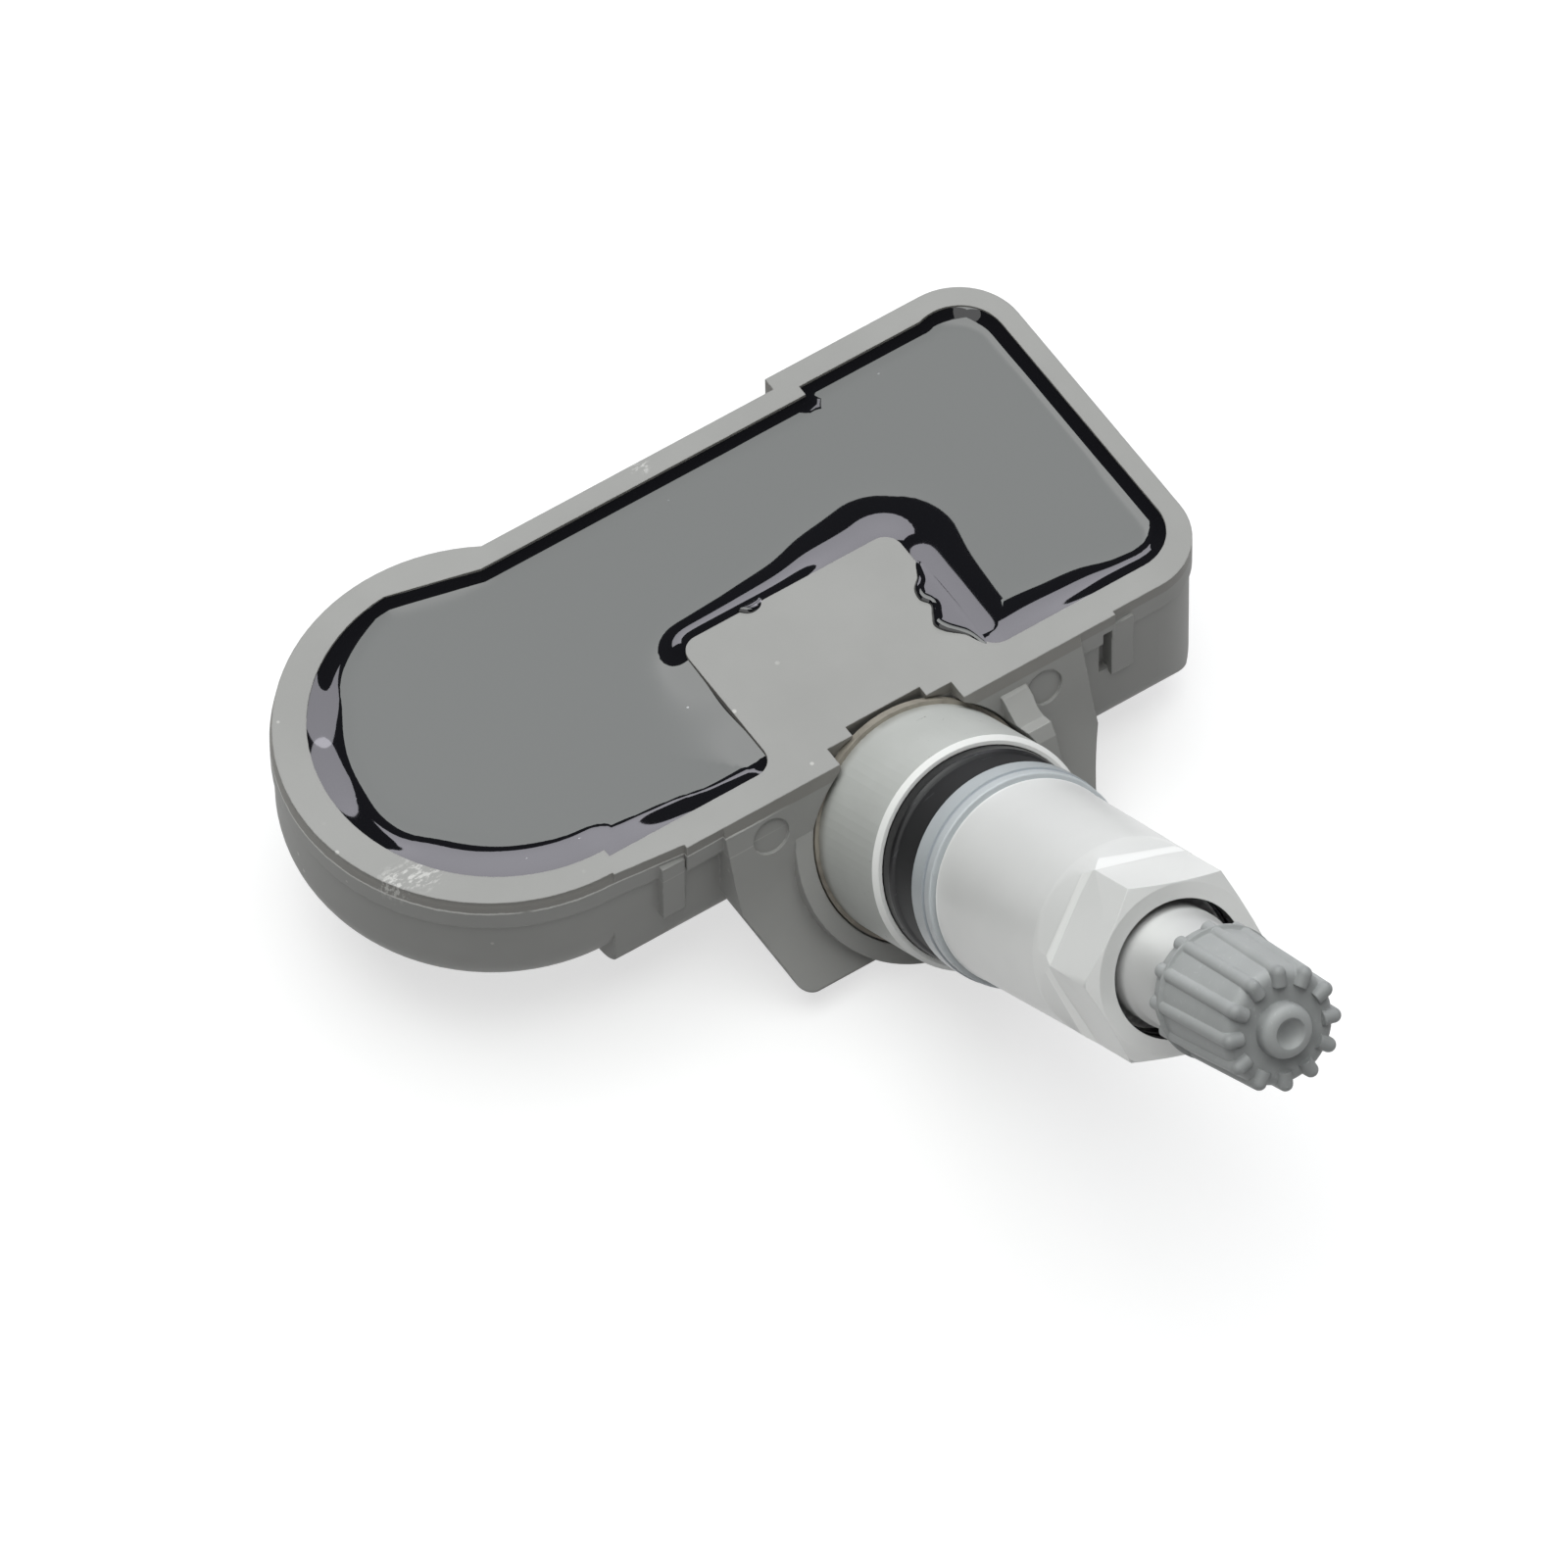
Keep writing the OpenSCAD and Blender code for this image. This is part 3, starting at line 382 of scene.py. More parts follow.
def black_rubber():
    """Rubber of the grommet: glossy where it was squeezed, matt on its taper."""
    f = Finish("black_rubber")
    clouds = f.noise(400, 3, 0.6)
    scratch = f.noise(500, 3, 0.7, f.stretched((1, 4, 1))).step(0.62, 0.68)
    s = station(f)
    rough = 0.26 + s.step(-3.4, -3.0) * 0.3 + clouds * 0.1
    base = f.mix(scratch * 0.5, (0.010, 0.010, 0.011), (0.05, 0.05, 0.055))
    return f.surface(Base_Color=base, Roughness=rough,
                     Normal=f.bump(clouds, 0.008 * MM, 1.0, f.rounded(0.1 * MM)))


def milky_plastic():
    """Milky plastic of the slip washer, slightly see-through, bluish at its line."""
    f = Finish("washer_plastic")
    clouds = f.noise(300, 2, 0.5)
    s = station(f)
    base = f.mix(clouds, (0.43, 0.46, 0.48), (0.50, 0.53, 0.55))
    line = s.band(1.72, 0.06, 0.12)
    base = f.mix(line * 0.6, base, (0.30, 0.33, 0.38))
    outer = s.step(1.78, 1.95)
    base = f.mix(outer * 0.6, base, (0.60, 0.63, 0.65))
    return f.surface(Base_Color=base, Roughness=0.3, Subsurface_Weight=0.3,
                     Subsurface_Radius=(0.001, 0.001, 0.001), Normal=f.rounded(0.1 * MM))


def cap_plastic():
    """Matt grey plastic of the cap, a little dusty on its ribs, with painted shade on its recessed front disc."""
    f = Finish("cap_plastic")
    clouds = f.noise(240, 3, 0.6)
    grain = f.noise(3000, 3, 0.6)
    s = station(f)
    base = f.mix(clouds.step(0.3, 0.8), (0.375, 0.385, 0.385), (0.42, 0.43, 0.43))
    # Painted shade: the cap's recessed front disc darkened.
    front = s.step(CAP_FRONT - 1.0, CAP_FRONT - 0.4) * (1 - s.step(CAP_FRONT + 0.1, CAP_FRONT + 0.5))
    base = f.mix(front * 0.35, base, (0.20, 0.205, 0.21))
    dust = grain.step(0.6, 0.7) * clouds.step(0.4, 0.6)
    base = f.mix(dust * 0.35, base, (0.55, 0.56, 0.56))
    return f.surface(Base_Color=base, Roughness=0.5 + clouds * 0.12,
                     Normal=f.bump(grain, 0.006 * MM, 1.0, f.rounded(0.14 * MM)))


def stained_metal():
    """The thin ring behind the collar: tan metal with dirt on it."""
    f = Finish("tan_metal")
    dirt = f.noise(260, 4, 0.6)
    base = f.mix(dirt.step(0.4, 0.7), (0.36, 0.33, 0.28), (0.20, 0.18, 0.155))
    return f.surface(Base_Color=base, Metallic=0.2, Roughness=0.55 + dirt * 0.2,
                     Normal=f.bump(dirt, 0.005 * MM))


def plain(name, base, metallic=0.0, rough=0.5):
    """A hidden piece's finish, with a faint unevenness."""
    f = Finish(name)
    clouds = f.noise(300, 3, 0.6)
    tint = f.mix(clouds, tuple(v * 0.85 for v in base), base)
    return f.surface(Base_Color=tint, Metallic=metallic, Roughness=rough + clouds * 0.1)


FINISHES = {
    "grey_resin": moulded_resin(),
    "black_compound": potting_compound(),
    "board_green": plain("board_green", (0.03, 0.16, 0.06), 0.0, 0.4),
    "plated_steel": plain("plated_steel", (0.62, 0.62, 0.60), 1.0, 0.25),
    "chip_black": plain("chip_black", (0.03, 0.03, 0.03)),
    "copper_wire": plain("copper_wire", (0.55, 0.22, 0.08), 1.0, 0.3),
    "tan_ceramic": plain("tan_ceramic", (0.42, 0.30, 0.18), 0.0, 0.4),
    "tan_metal": stained_metal(),
    "stem_aluminium": stem_aluminium(),
    "nut_aluminium": nut_metal("nut_aluminium", (0.82, 0.82, 0.81), 0.36),
    "washer_plastic": milky_plastic(),
    "black_rubber": black_rubber(),
    "brass_metal": turned("brass_metal", (0.65, 0.45, 0.18), 0.3, 0.003 * MM, 0.05 * MM),
    "red_seal": plain("red_seal", (0.45, 0.05, 0.03), 0.0, 0.5),
    "cap_plastic": cap_plastic(),
}


def dress_nodes():
    for part in frame["record"]["subparts"]:
        data = NODES[part["node"]].data
        data.materials.clear()
        data.materials.append(FINISHES[part["material_slot"]])


# The potting's surface

def outline_of(node, level):
    """The ordered outline of the node's flat face at a level."""
    data = node.data
    edges = {}
    for face in data.polygons:
        if all(abs(data.vertices[i].co.z - level) < 1e-6 for i in face.vertices):
            for key in face.edge_keys:
                ends = tuple(sorted(tuple(round(c, 8) for c in data.vertices[i].co.xy) for i in key))
                edges[ends] = edges.get(ends, 0) + 1
    links = {}
    for (a, b), used in edges.items():
        if used == 1 and a != b:
            links.setdefault(a, []).append(b)
            links.setdefault(b, []).append(a)
    start = min(links)
    loop = [start]
    before, here = None, start
    while True:
        ahead = [p for p in links[here] if p != before]
        before, here = here, ahead[0]
        if here == start:
            return loop
        loop.append(here)


def resampled(loop, pitch):
    """The loop with points no further apart than the pitch."""
    points = []
    for a, b in zip(loop, loop[1:] + loop[:1]):
        count = max(1, math.ceil(math.dist(a, b) / pitch))
        for i in range(count):
            points.append(tuple(p + (q - p) * i / count for p, q in zip(a, b)))
    return points


def distances(points, loop):
    """Distance from each point to the loop, and whether the point is inside it."""
    p = np.asarray(points)[:, None, :]
    a = np.asarray(loop)[None]
    b = np.roll(a, -1, axis=1)
    run = b - a
    share = np.clip(((p - a) * run).sum(-1) / (run ** 2).sum(-1), 0, 1)
    away = np.linalg.norm(p - a - share[..., None] * run, axis=-1).min(1)
    crosses = (a[..., 1] > p[..., 1]) != (b[..., 1] > p[..., 1])
    rise = np.where(run[..., 1] == 0, 1, run[..., 1])
    at = a[..., 0] + (p[..., 1] - a[..., 1]) * run[..., 0] / rise
    inside = (crosses & (p[..., 0] < at)).sum(1) % 2 == 1
    return away, inside


def grid_inside(loop, pitch, nearest, furthest):
    """Points of a triangular grid inside the loop, between two distances from it."""
    low = np.min(loop, axis=0)
    high = np.max(loop, axis=0)
    row_h = pitch * math.sqrt(3) / 2
    rows = []
    for j in range(int((high[1] - low[1]) / row_h) + 1):
        xs = np.arange(low[0] + (j % 2) * pitch / 2, high[0], pitch)
        rows.append(np.stack([xs, np.full(len(xs), low[1] + j * row_h)], 1))
    points = np.concatenate(rows)
    away, inside = distances(points, loop)
    return points[inside & (away > nearest) & (away < furthest)]


# How the potting climbs each stretch of the pocket's wall: a place on the wall in the housing's plan,
# then the slope in degrees, the slope's width and how softly it runs out, in millimetres
CLIMBS = [
    ((-24.0, 30.2), 40, 0.95, 0.25),
    ((-30.5, 28.5), 30, 1.2, 0.35),
    ((-34.5, 25.0), 15.5, 2.5, 0.30),
    ((-37.3, 19.0), 15, 2.5, 0.30),
    ((-37.0, 13.5), 22, 1.7, 0.45),
    ((-34.5, 8.0), 14, 2.9, 0.35),
    ((-29.5, 4.5), 14, 3.0, 0.24),
    ((-24.0, 3.2), 14, 2.9, 0.14),
    ((-20.6, 2.6), 14, 2.7, 0.12),
    ((-18.6, 2.5), 21, 1.95, 0.08),
    ((-12.0, 2.5), 22, 1.5, 0.08),
    ((-9.4, 4.0), 23, 0.9, 0.30),
    ((-9.2, 7.0), 4.5, 3.2, 1.2),
    ((-9.2, 12.0), 4.5, 2.2, 1.0),
    ((-8.8, 14.9), 32, 1.0, 0.30),
    ((-5.0, 15.3), 34, 0.9, 0.65),
    ((0.0, 15.3), 32, 0.9, 0.80),
    ((5.0, 15.3), 18, 2.2, 1.00),
    ((9.0, 15.0), 14, 3.1, 1.10),
    ((9.2, 10.0), 14, 2.7, 0.80),
    ((9.2, 5.5), 14, 2.5, 0.80),
    ((12.5, 2.5), 15, 2.6, 0.80),
    ((17.0, 2.5), 23, 1.7, 0.80),
    ((23.0, 2.6), 27, 1.3, 0.40),
    ((26.2, 6.0), 38, 0.95, 0.22),
    ((26.3, 18.0), 42, 0.85, 0.16),
    ((26.0, 28.5), 42, 0.9, 0.18),
    ((20.0, 31.0), 40, 0.8, 0.18),
    ((9.5, 30.5), 40, 0.8, 0.18),
    ((0.0, 29.0), 40, 0.8, 0.15),
    ((-14.0, 29.0), 40, 0.8, 0.15),
]
CLIMB_REACH = 2.2 * MM
WALL_ROUNDS = 14
RIM_SINK = 0.06 * MM
POOL_PITCH = 0.29 * MM
# Rows of points that follow the wall, in millimetres from it
POOL_ROWS = [0.12, 0.26, 0.42, 0.6, 0.8, 1.02, 1.26, 1.52]


def wall_directions(points, loop):
    """The nearest place on the loop for each point, and the evened direction out through the wall there."""
    a = np.asarray(loop)
    run = np.roll(a, -1, axis=0) - a
    outward = pushed_out(loop, 1) - a
    for _ in range(WALL_ROUNDS):
        outward = (np.roll(outward, 1, axis=0) + 2 * outward + np.roll(outward, -1, axis=0)) / 4
    nearest = []
    facing = []
    for point in np.asarray(points):
        share = np.clip(((point - a) * run).sum(1) / (run ** 2).sum(1), 0, 1)
        spots = a + share[:, None] * run
        k = np.argmin(((spots - point) ** 2).sum(1))
        nearest.append(spots[k])
        facing.append((1 - share[k]) * outward[k] + share[k] * outward[(k + 1) % len(a)])
    facing = np.array(facing)
    return np.array(nearest), facing / np.linalg.norm(facing, axis=1)[:, None]


def climb(points, loop, away, highest):
    """The potting's height above its level at each point, and its normal there."""
    walls = np.array([(x * MM, y * MM + HOUSING_Y) for (x, y), *_ in CLIMBS])
    settings = np.array([(math.tan(math.radians(s)), w * MM, t * MM) for _, s, w, t in CLIMBS])
    nearest, outward = wall_directions(points, loop)
    apart = ((nearest[:, None] - walls[None]) ** 2).sum(-1)
    share = np.exp(-(apart - apart.min(1)[:, None]) / (2 * CLIMB_REACH ** 2))
    share /= share.sum(1)[:, None]
    slope, width, soft = (share @ settings).T
    h = slope * soft * np.logaddexp(0, (width - away) / soft)
    ease = 0.12 * MM
    steep = slope / (1 + np.exp((away - width) / soft)) / (1 + np.exp((h - highest) / ease))
    normals = np.stack([-steep * outward[:, 0], -steep * outward[:, 1], np.ones(len(h))], 1)
    normals /= np.linalg.norm(normals, axis=1)[:, None]
    return highest - ease * np.logaddexp(0, (highest - h) / ease), normals


def pushed_out(loop, step):
    """The loop with each point moved outwards by a step."""
    p = np.asarray(loop)
    run = np.roll(p, -1, axis=0) - np.roll(p, 1, axis=0)
    side = np.stack([run[:, 1], -run[:, 0]], 1)
    side /= np.linalg.norm(side, axis=1)[:, None]
    q = np.roll(p, -1, axis=0)
    if (p[:, 0] * q[:, 1] - q[:, 0] * p[:, 1]).sum() < 0:
        side = -side
    return p + side * step


def potting_pool():
    """The potting with its true surface, which creeps up the walls and the plateau."""
    low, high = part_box("potting")
    level, bottom = high.z, low.z
    loop = outline_of(NODES["potting"], level)
    rim = resampled(loop, POOL_PITCH)
    rows = [points_along(rim, step * MM) for step in POOL_ROWS]
    inner = grid_inside(rim, POOL_PITCH, POOL_ROWS[-1] * MM + 0.75 * POOL_PITCH, 1)
    start = [Vector(p) for p in rim] + [Vector(p) for row in rows for p in row] + [Vector(p) for p in inner]
    count = len(rim)
    edges = [(i, (i + 1) % count) for i in range(count)]
    flat, _, faces, origins, _, _ = delaunay_2d_cdt(start, edges, [], 1, 1e-8)
    verts = [tuple(v) for v in flat]
    fixed = np.array([any(o < count for o in origin) for origin in origins])
    away, _ = distances(verts, rim)
    highest = HOUSING_Z - level - 0.03 * MM
    heights, normals = climb(verts, rim, np.where(fixed, 0, away), highest)
    ring = {}
    for k, origin in enumerate(origins):
        for o in origin:
            if o < count:
                ring[o] = k
    ring = [ring[i] for i in range(count)]
    for k, spot in zip(ring, pushed_out(rim, RIM_SINK)):
        verts[k] = tuple(spot)
    mesh_verts = [(x, y, level + h) for (x, y), h in zip(verts, heights)]
    base = len(mesh_verts)
    mesh_verts += [(*verts[k], bottom) for k in ring]
    turns = sum(verts[ring[i]][0] * verts[ring[(i + 1) % count]][1]
                - verts[ring[(i + 1) % count]][0] * verts[ring[i]][1] for i in range(count))
    quads = [(ring[(i + 1) % count], ring[i], base + i, base + (i + 1) % count) for i in range(count)]
    if turns < 0:
        quads = [q[::-1] for q in quads]
    floor = [base + i for i in range(count)]
    if turns > 0:
        floor = floor[::-1]
    piece = add_mesh("potting_pool", mesh_verts, [tuple(f) for f in faces] + quads + [tuple(floor)])
    shading = []
    for polygon in piece.data.polygons:
        on_top = polygon.index < len(faces)
        polygon.use_smooth = on_top
        shading += [tuple(normals[v]) if on_top else tuple(polygon.normal) for v in polygon.vertices]
    piece.data.normals_split_custom_set(shading)
    return piece


def points_along(loop, step):
    """Points at a step inside the loop, without those that fall too near another stretch of it."""
    points = pushed_out(loop, -step)
    away, inside = distances(points, loop)
    return points[inside & (away > 0.93 * step)]


# Places where the potting ran over the edge: outlines in the housing's plan
SPILLS = {
    "spill_right": [(9.5, 3.4), (8.5, 4.6), (7.5, 5.6), (7.1, 6.5), (7.5, 7.4), (7.9, 8.2), (7.5, 9.0), (7.7, 10.0),
                    (8.4, 10.7), (9.5, 11.6)],
    "spill_back": [(-3.9, 15.6), (-3.6, 15.0), (-3.0, 14.75), (-2.3, 14.95), (-2.0, 15.6)],
}


def film(outline):
    """A thin film of potting with rounded edges, which thickens away from the pocket."""
    corners = [Vector((x * MM, y * MM + HOUSING_Y)) for x, y in outline]
    count = len(corners)
    loop = []
    for i in range(count):
        a, b, c, d = (corners[(i + k) % count] for k in (-1, 0, 1, 2))
        for step in range(12):
            t = step / 12
            loop.append(tuple(0.5 * (2 * b + (c - a) * t + (2 * a - 5 * b + 4 * c - d) * t ** 2
                                     + (3 * b - a - 3 * c + d) * t ** 3)))
    inner = grid_inside(loop, 0.1 * MM, 0.04 * MM, 1)
    start = [Vector(p) for p in loop] + [Vector(p) for p in inner]
    size = len(loop)
    edges = [(i, (i + 1) % size) for i in range(size)]
    flat, _, faces, _, _, _ = delaunay_2d_cdt(start, edges, [], 1, 1e-9)
    away, _ = distances([tuple(v) for v in flat], loop)
    deep = max(x for x, _ in outline) * MM - np.array([v.x for v in flat])
    rise = (0.04 * MM + 0.21 * deep) * (1 - np.exp(-away / (0.16 * MM)))
    top = [(v.x, v.y, HOUSING_Z + h) for v, h in zip(flat, rise)]
    under = [(v.x, v.y, HOUSING_Z - 0.02 * MM) for v in flat]
    used = {}
    for face in faces:
        for a, b in zip(face, list(face[1:]) + [face[0]]):
            used[(a, b)] = True
    border = [(a, b) for a, b in used if (b, a) not in used]
    n = len(top)
    sides = [(b, a, a + n, b + n) for a, b in border]
    return top + under, [tuple(f) for f in faces] + [tuple(i + n for i in reversed(f)) for f in faces] + sides


# Threads

TURN_STEPS = 40


def groove(low, high, radius, depth, pitch):
    """A V groove's solid that winds round the stem, in millimetres. A negative depth cuts outwards."""
    side = ACROSS
    up = OUT.cross(side)
    count = int((high - low) / pitch * TURN_STEPS)
    clear = 0.08 if depth > 0 else -0.08
    section = [(-0.43 * pitch, radius + clear), (0, radius - depth), (0.43 * pitch, radius + clear)]
    verts = []
    for i in range(count + 1):
        turn = math.tau * i / TURN_STEPS
        spoke = side * math.cos(turn) + up * math.sin(turn)
        for along, r in section:
            verts.append(OUT * (low + pitch * i / TURN_STEPS + along) + spoke * r)
    faces = [(0, 1, 2), tuple(3 * count + k for k in (2, 1, 0))]
    for i in range(count):
        for k in range(3):
            a, b = 3 * i + k, 3 * i + (k + 1) % 3
            faces.append((a, a + 3, b + 3, b))
    if depth < 0:
        faces = [f[::-1] for f in faces]
    return verts, faces


def ring(low, high, inner, outer):
    """A ring's solid round the stem, in millimetres."""
    up = OUT.cross(ACROSS)
    verts = []
    count = 2 * TURN_STEPS
    for i in range(count):
        turn = math.tau * i / count
        spoke = ACROSS * math.cos(turn) + up * math.sin(turn)
        verts += [OUT * low + spoke * inner, OUT * low + spoke * outer,
                  OUT * high + spoke * outer, OUT * high + spoke * inner]
    faces = []
    for i in range(count):
        for k in range(4):
            a, b = 4 * i + k, 4 * i + (k + 1) % 4
            c, d = 4 * ((i + 1) % count) + (k + 1) % 4, 4 * ((i + 1) % count) + k
            faces.append((a, d, c, b))
    return verts, faces


def recut(name, node, sharp, *cuts):
    """A copy of a node's mesh with thread grooves and rings cut from it."""
    mesh = bmesh.new()
    mesh.from_mesh(NODES[node].data)
    bmesh.ops.remove_doubles(mesh, verts=mesh.verts, dist=1e-7)
    bmesh.ops.scale(mesh, vec=(1 / MM,) * 3, verts=mesh.verts)
    data = bpy.data.meshes.new(name)
    mesh.to_mesh(data)
    mesh.free()
    piece = bpy.data.objects.new(name, data)
    bpy.context.scene.collection.objects.link(piece)
    cutters = []
    for verts, faces in cuts:
        cutter = add_mesh(name + "_cutter", verts, faces)
        cut = piece.modifiers.new("thread", "BOOLEAN")
        cut.operation = "DIFFERENCE"
        cut.solver = "EXACT"
        cut.object = cutter
        cutters.append(cutter)
    shown = piece.evaluated_get(bpy.context.evaluated_depsgraph_get())
    result = bpy.data.meshes.new_from_object(shown)
    piece.modifiers.clear()
    piece.data = result
    result.transform(Matrix.Scale(MM, 4))
    result.materials.clear()
    result.shade_smooth()
    result.set_sharp_from_angle(angle=math.radians(sharp))
    for cutter in cutters:
        bpy.data.objects.remove(cutter)
    return piece


def add_mesh(name, verts, faces):
    data = bpy.data.meshes.new(name)
    data.from_pydata([tuple(v) for v in verts], [], faces)
    data.validate()
    data.update()
    piece = bpy.data.objects.new(name, data)
    bpy.context.scene.collection.objects.link(piece)
    return piece


def seat(piece, body, slot, *replaced):
    """Rides the piece on its body, in its material slot's finish."""
    piece.data.materials.append(FINISHES[slot])
    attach(piece, body)
    if replaced:
        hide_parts(*replaced)


# Studio

AIM = Vector((-9.3, 15.5, 0)) * MM
CAMERA_AWAY = 1406.8 * MM
CAMERA_AZIMUTH = 32.63
CAMERA_ELEVATION = 54.42
CAMERA_ROLL = -1.05
LENS = 450
SENSOR = 36
AMBIENT = 0.12


def heading(azimuth, elevation):
    """A direction from the object: azimuth 0 is the back, 90 the flat end."""
    a, e = math.radians(azimuth), math.radians(elevation)
    return Vector((math.sin(a) * math.cos(e), math.cos(a) * math.cos(e), math.sin(e)))


def add_camera():
    data = bpy.data.cameras.new("camera")
    data.lens = LENS
    data.sensor_width = SENSOR
    data.clip_start = 0.05
    data.clip_end = 20
    camera = bpy.data.objects.new("camera", data)
    bpy.context.scene.collection.objects.link(camera)
    towards = -heading(CAMERA_AZIMUTH + 180, CAMERA_ELEVATION)
    camera.location = AIM - towards * CAMERA_AWAY
    look = towards.to_track_quat("-Z", "Y").to_matrix().to_4x4()
    roll = Matrix.Rotation(math.radians(CAMERA_ROLL), 4, "Z")
    camera.matrix_world = Matrix.Translation(camera.location) @ look @ roll
    bpy.context.scene.camera = camera


def add_light(name, size, radiance, tint=(1, 1, 1)):
    """A rectangular light; its radiance is in units of plain white."""
    data = bpy.data.lights.new(name, "AREA")
    data.shape = "RECTANGLE"
    data.size, data.size_y = size
    data.energy = radiance * math.pi * size[0] * size[1]
    data.color = tint
    light = bpy.data.objects.new(name, data)
    bpy.context.scene.collection.objects.link(light)
    return light


def add_strip(name, azimuth, elevation, away, size, radiance, tint=(1, 1, 1)):
    """A light that stands round the object and faces it."""
    light = add_light(name, size, radiance, tint)
    towards = heading(azimuth, elevation)
    light.location = AIM + towards * away
    light.rotation_mode = "QUATERNION"
    light.rotation_quaternion = towards.to_track_quat("Z", "Y")
    return light


PANEL_HEIGHT = 1.0
PANEL_LEFT = -0.55
PANEL_RIGHT = 0.54
PANEL_FRONT = -0.45
PANEL_BACK = 0.79
PANEL_RADIANCE = 2.6
STRIP_TINT = (0.93, 0.915, 1.0)
FLAG_AWAY = 1.35


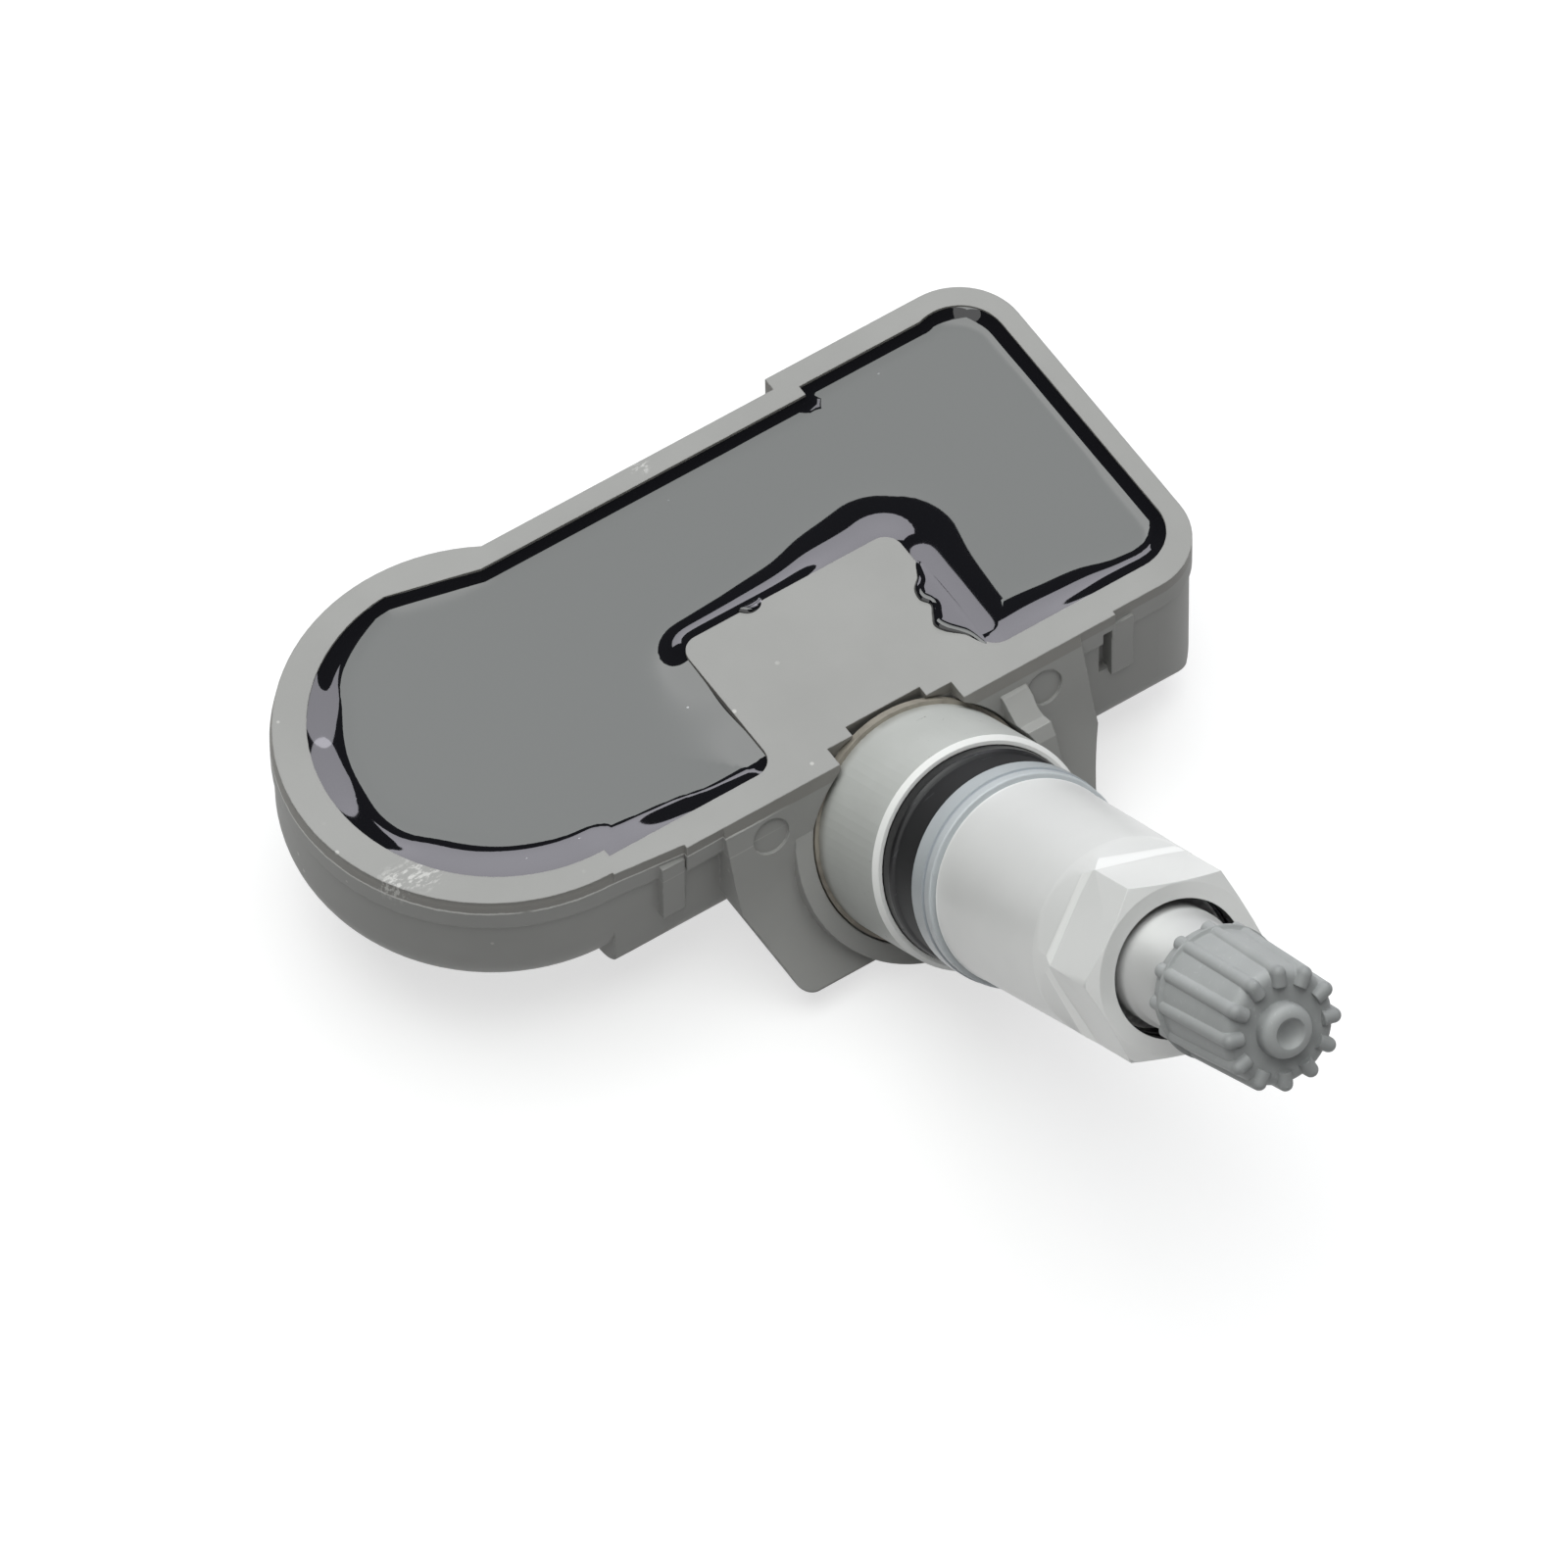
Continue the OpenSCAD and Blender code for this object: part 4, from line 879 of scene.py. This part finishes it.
def add_panel():
    """The level panel overhead, which the flat of the potting mirrors. It is brighter to the left."""
    z = PANEL_HEIGHT
    corners = [(PANEL_LEFT, PANEL_FRONT, z), (PANEL_LEFT, PANEL_BACK, z),
               (PANEL_RIGHT, PANEL_BACK, z), (PANEL_RIGHT, PANEL_FRONT, z)]
    panel = add_mesh("overhead_panel", [AIM + Vector(c) for c in corners], [(0, 1, 2, 3)])
    f = Finish("panel_glow")
    glow = f.mix(f.along(Vector((1, 0, 0))).step(60, 400), (1.22, 1.25, 1.23), (0.93, 0.965, 0.95))
    black = (0, 0, 0)
    panel.data.materials.append(f.surface(Base_Color=black, Roughness=1.0, Specular_IOR_Level=0.0,
                                          Emission_Color=glow, Emission_Strength=PANEL_RADIANCE))
    panel.visible_camera = False
    panel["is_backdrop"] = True


def add_flag(name, azimuth, width, height, lift=0.0):
    """A dark card that only reflections see."""
    towards = heading(azimuth, 0)
    side = towards.cross(Vector((0, 0, 1))) * width / 2
    foot = AIM + towards * FLAG_AWAY
    foot.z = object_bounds()[0].z + lift
    top = Vector((0, 0, height))
    card = add_mesh(name, [foot - side, foot + side, foot + side + top, foot - side + top], [(0, 1, 2, 3)])
    card.data.materials.append(FLAG_FINISH)
    card.visible_camera = False
    card.visible_diffuse = False
    card.visible_shadow = False
    card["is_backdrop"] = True


def add_studio():
    world = bpy.data.worlds.new("studio")
    bpy.context.scene.world = world
    world.use_nodes = True
    tree = world.node_tree
    tree.nodes.clear()
    path = tree.nodes.new("ShaderNodeLightPath")
    camera_or_gloss = tree.nodes.new("ShaderNodeMath")
    camera_or_gloss.operation = "ADD"
    seen = tree.nodes.new("ShaderNodeMath")
    seen.operation = "ADD"
    seen.use_clamp = True
    ambient = tree.nodes.new("ShaderNodeBackground")
    ambient.inputs["Color"].default_value = (1, 1, 1, 1)
    ambient.inputs["Strength"].default_value = AMBIENT
    white = tree.nodes.new("ShaderNodeBackground")
    white.inputs["Color"].default_value = (1, 1, 1, 1)
    white.inputs["Strength"].default_value = 1
    choose = tree.nodes.new("ShaderNodeMixShader")
    out = tree.nodes.new("ShaderNodeOutputWorld")
    tree.links.new(path.outputs["Is Camera Ray"], camera_or_gloss.inputs[0])
    tree.links.new(path.outputs["Is Glossy Ray"], camera_or_gloss.inputs[1])
    tree.links.new(camera_or_gloss.outputs[0], seen.inputs[0])
    tree.links.new(path.outputs["Is Transmission Ray"], seen.inputs[1])
    tree.links.new(seen.outputs[0], choose.inputs[0])
    tree.links.new(ambient.outputs[0], choose.inputs[1])
    tree.links.new(white.outputs[0], choose.inputs[2])
    tree.links.new(choose.outputs[0], out.inputs["Surface"])
    add_panel()
    add_strip("back_strip", 25, 30, 1.1, (0.70, 0.25), 2.4, STRIP_TINT)
    add_strip("right_strip", 60, 35, 1.1, (0.30, 0.36), 2.4, STRIP_TINT)
    add_strip("upper_strip", 71, 48, 1.1, (0.30, 0.30), 2.4, STRIP_TINT)
    add_flag("flag_back", 14, 2.8, 2.6)
    add_flag("flag_right", 84, 2.0, 2.6)
    add_flag("flag_left", -60, 2.0, 2.6)
    add_flag("flag_front", 158, 2.2, 2.4, 0.5)


FLOOR_SHARE = 0.42
FLOOR_GLOW = 0.66


def floor_white():
    """Pale paper that the camera and reflections see as white, with the object's shadow kept."""
    f = Finish("floor_white")
    paper = f.noise(40)
    tone = f.mix(paper, (FLOOR_SHARE, FLOOR_SHARE, FLOOR_SHARE), tuple(v * FLOOR_SHARE for v in (1.02, 1.02, 1.02)))
    path = f.node("ShaderNodeLightPath")
    seen = (path["Is Camera Ray"] + path["Is Glossy Ray"] + path["Is Transmission Ray"]).clamp()
    white = f.mix(seen, (0, 0, 0), (1, 1, 1))
    return f.surface(Base_Color=tone, Roughness=0.95, Specular_IOR_Level=0.0,
                     Emission_Color=white, Emission_Strength=FLOOR_GLOW)


def add_floor():
    half = 6.0
    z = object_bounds()[0].z
    corners = [(-half, -half, z), (half, -half, z), (half, half, z), (-half, half, z)]
    floor = add_mesh("floor", corners, [(0, 1, 2, 3)])
    floor.data.materials.append(floor_white())
    floor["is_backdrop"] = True


dress_nodes()
seat(potting_pool(), "sensor", "black_compound", "potting")
for name, outline in SPILLS.items():
    piece = add_mesh(name, *film(outline))
    piece.data.shade_smooth()
    piece.data.set_sharp_from_angle(angle=math.radians(50))
    seat(piece, "sensor", "black_compound")
seat(recut("threaded_stem", "stem", 20, groove(9.0, 23.2, 4.9, 0.5, 1.0), groove(30.9, 36.8, 3.83, 0.4, 0.794),
           ring(22.5, 25.5, 4.45, 5.4)),
     "sensor", "stem_aluminium", "stem")
seat(recut("threaded_nut", "nut", 12, groove(6.0, 21.6, 4.95, -0.5, 1.0), groove(22.4, 24.4, 5.2, -0.4, 1.0)),
     "nut", "nut_aluminium", "nut")
add_camera()
FLAG_FINISH = plain("flag_black", (0.01, 0.01, 0.01), 0.0, 0.9)
add_studio()
add_floor()

scene = bpy.context.scene
scene.view_settings.view_transform = "Standard"
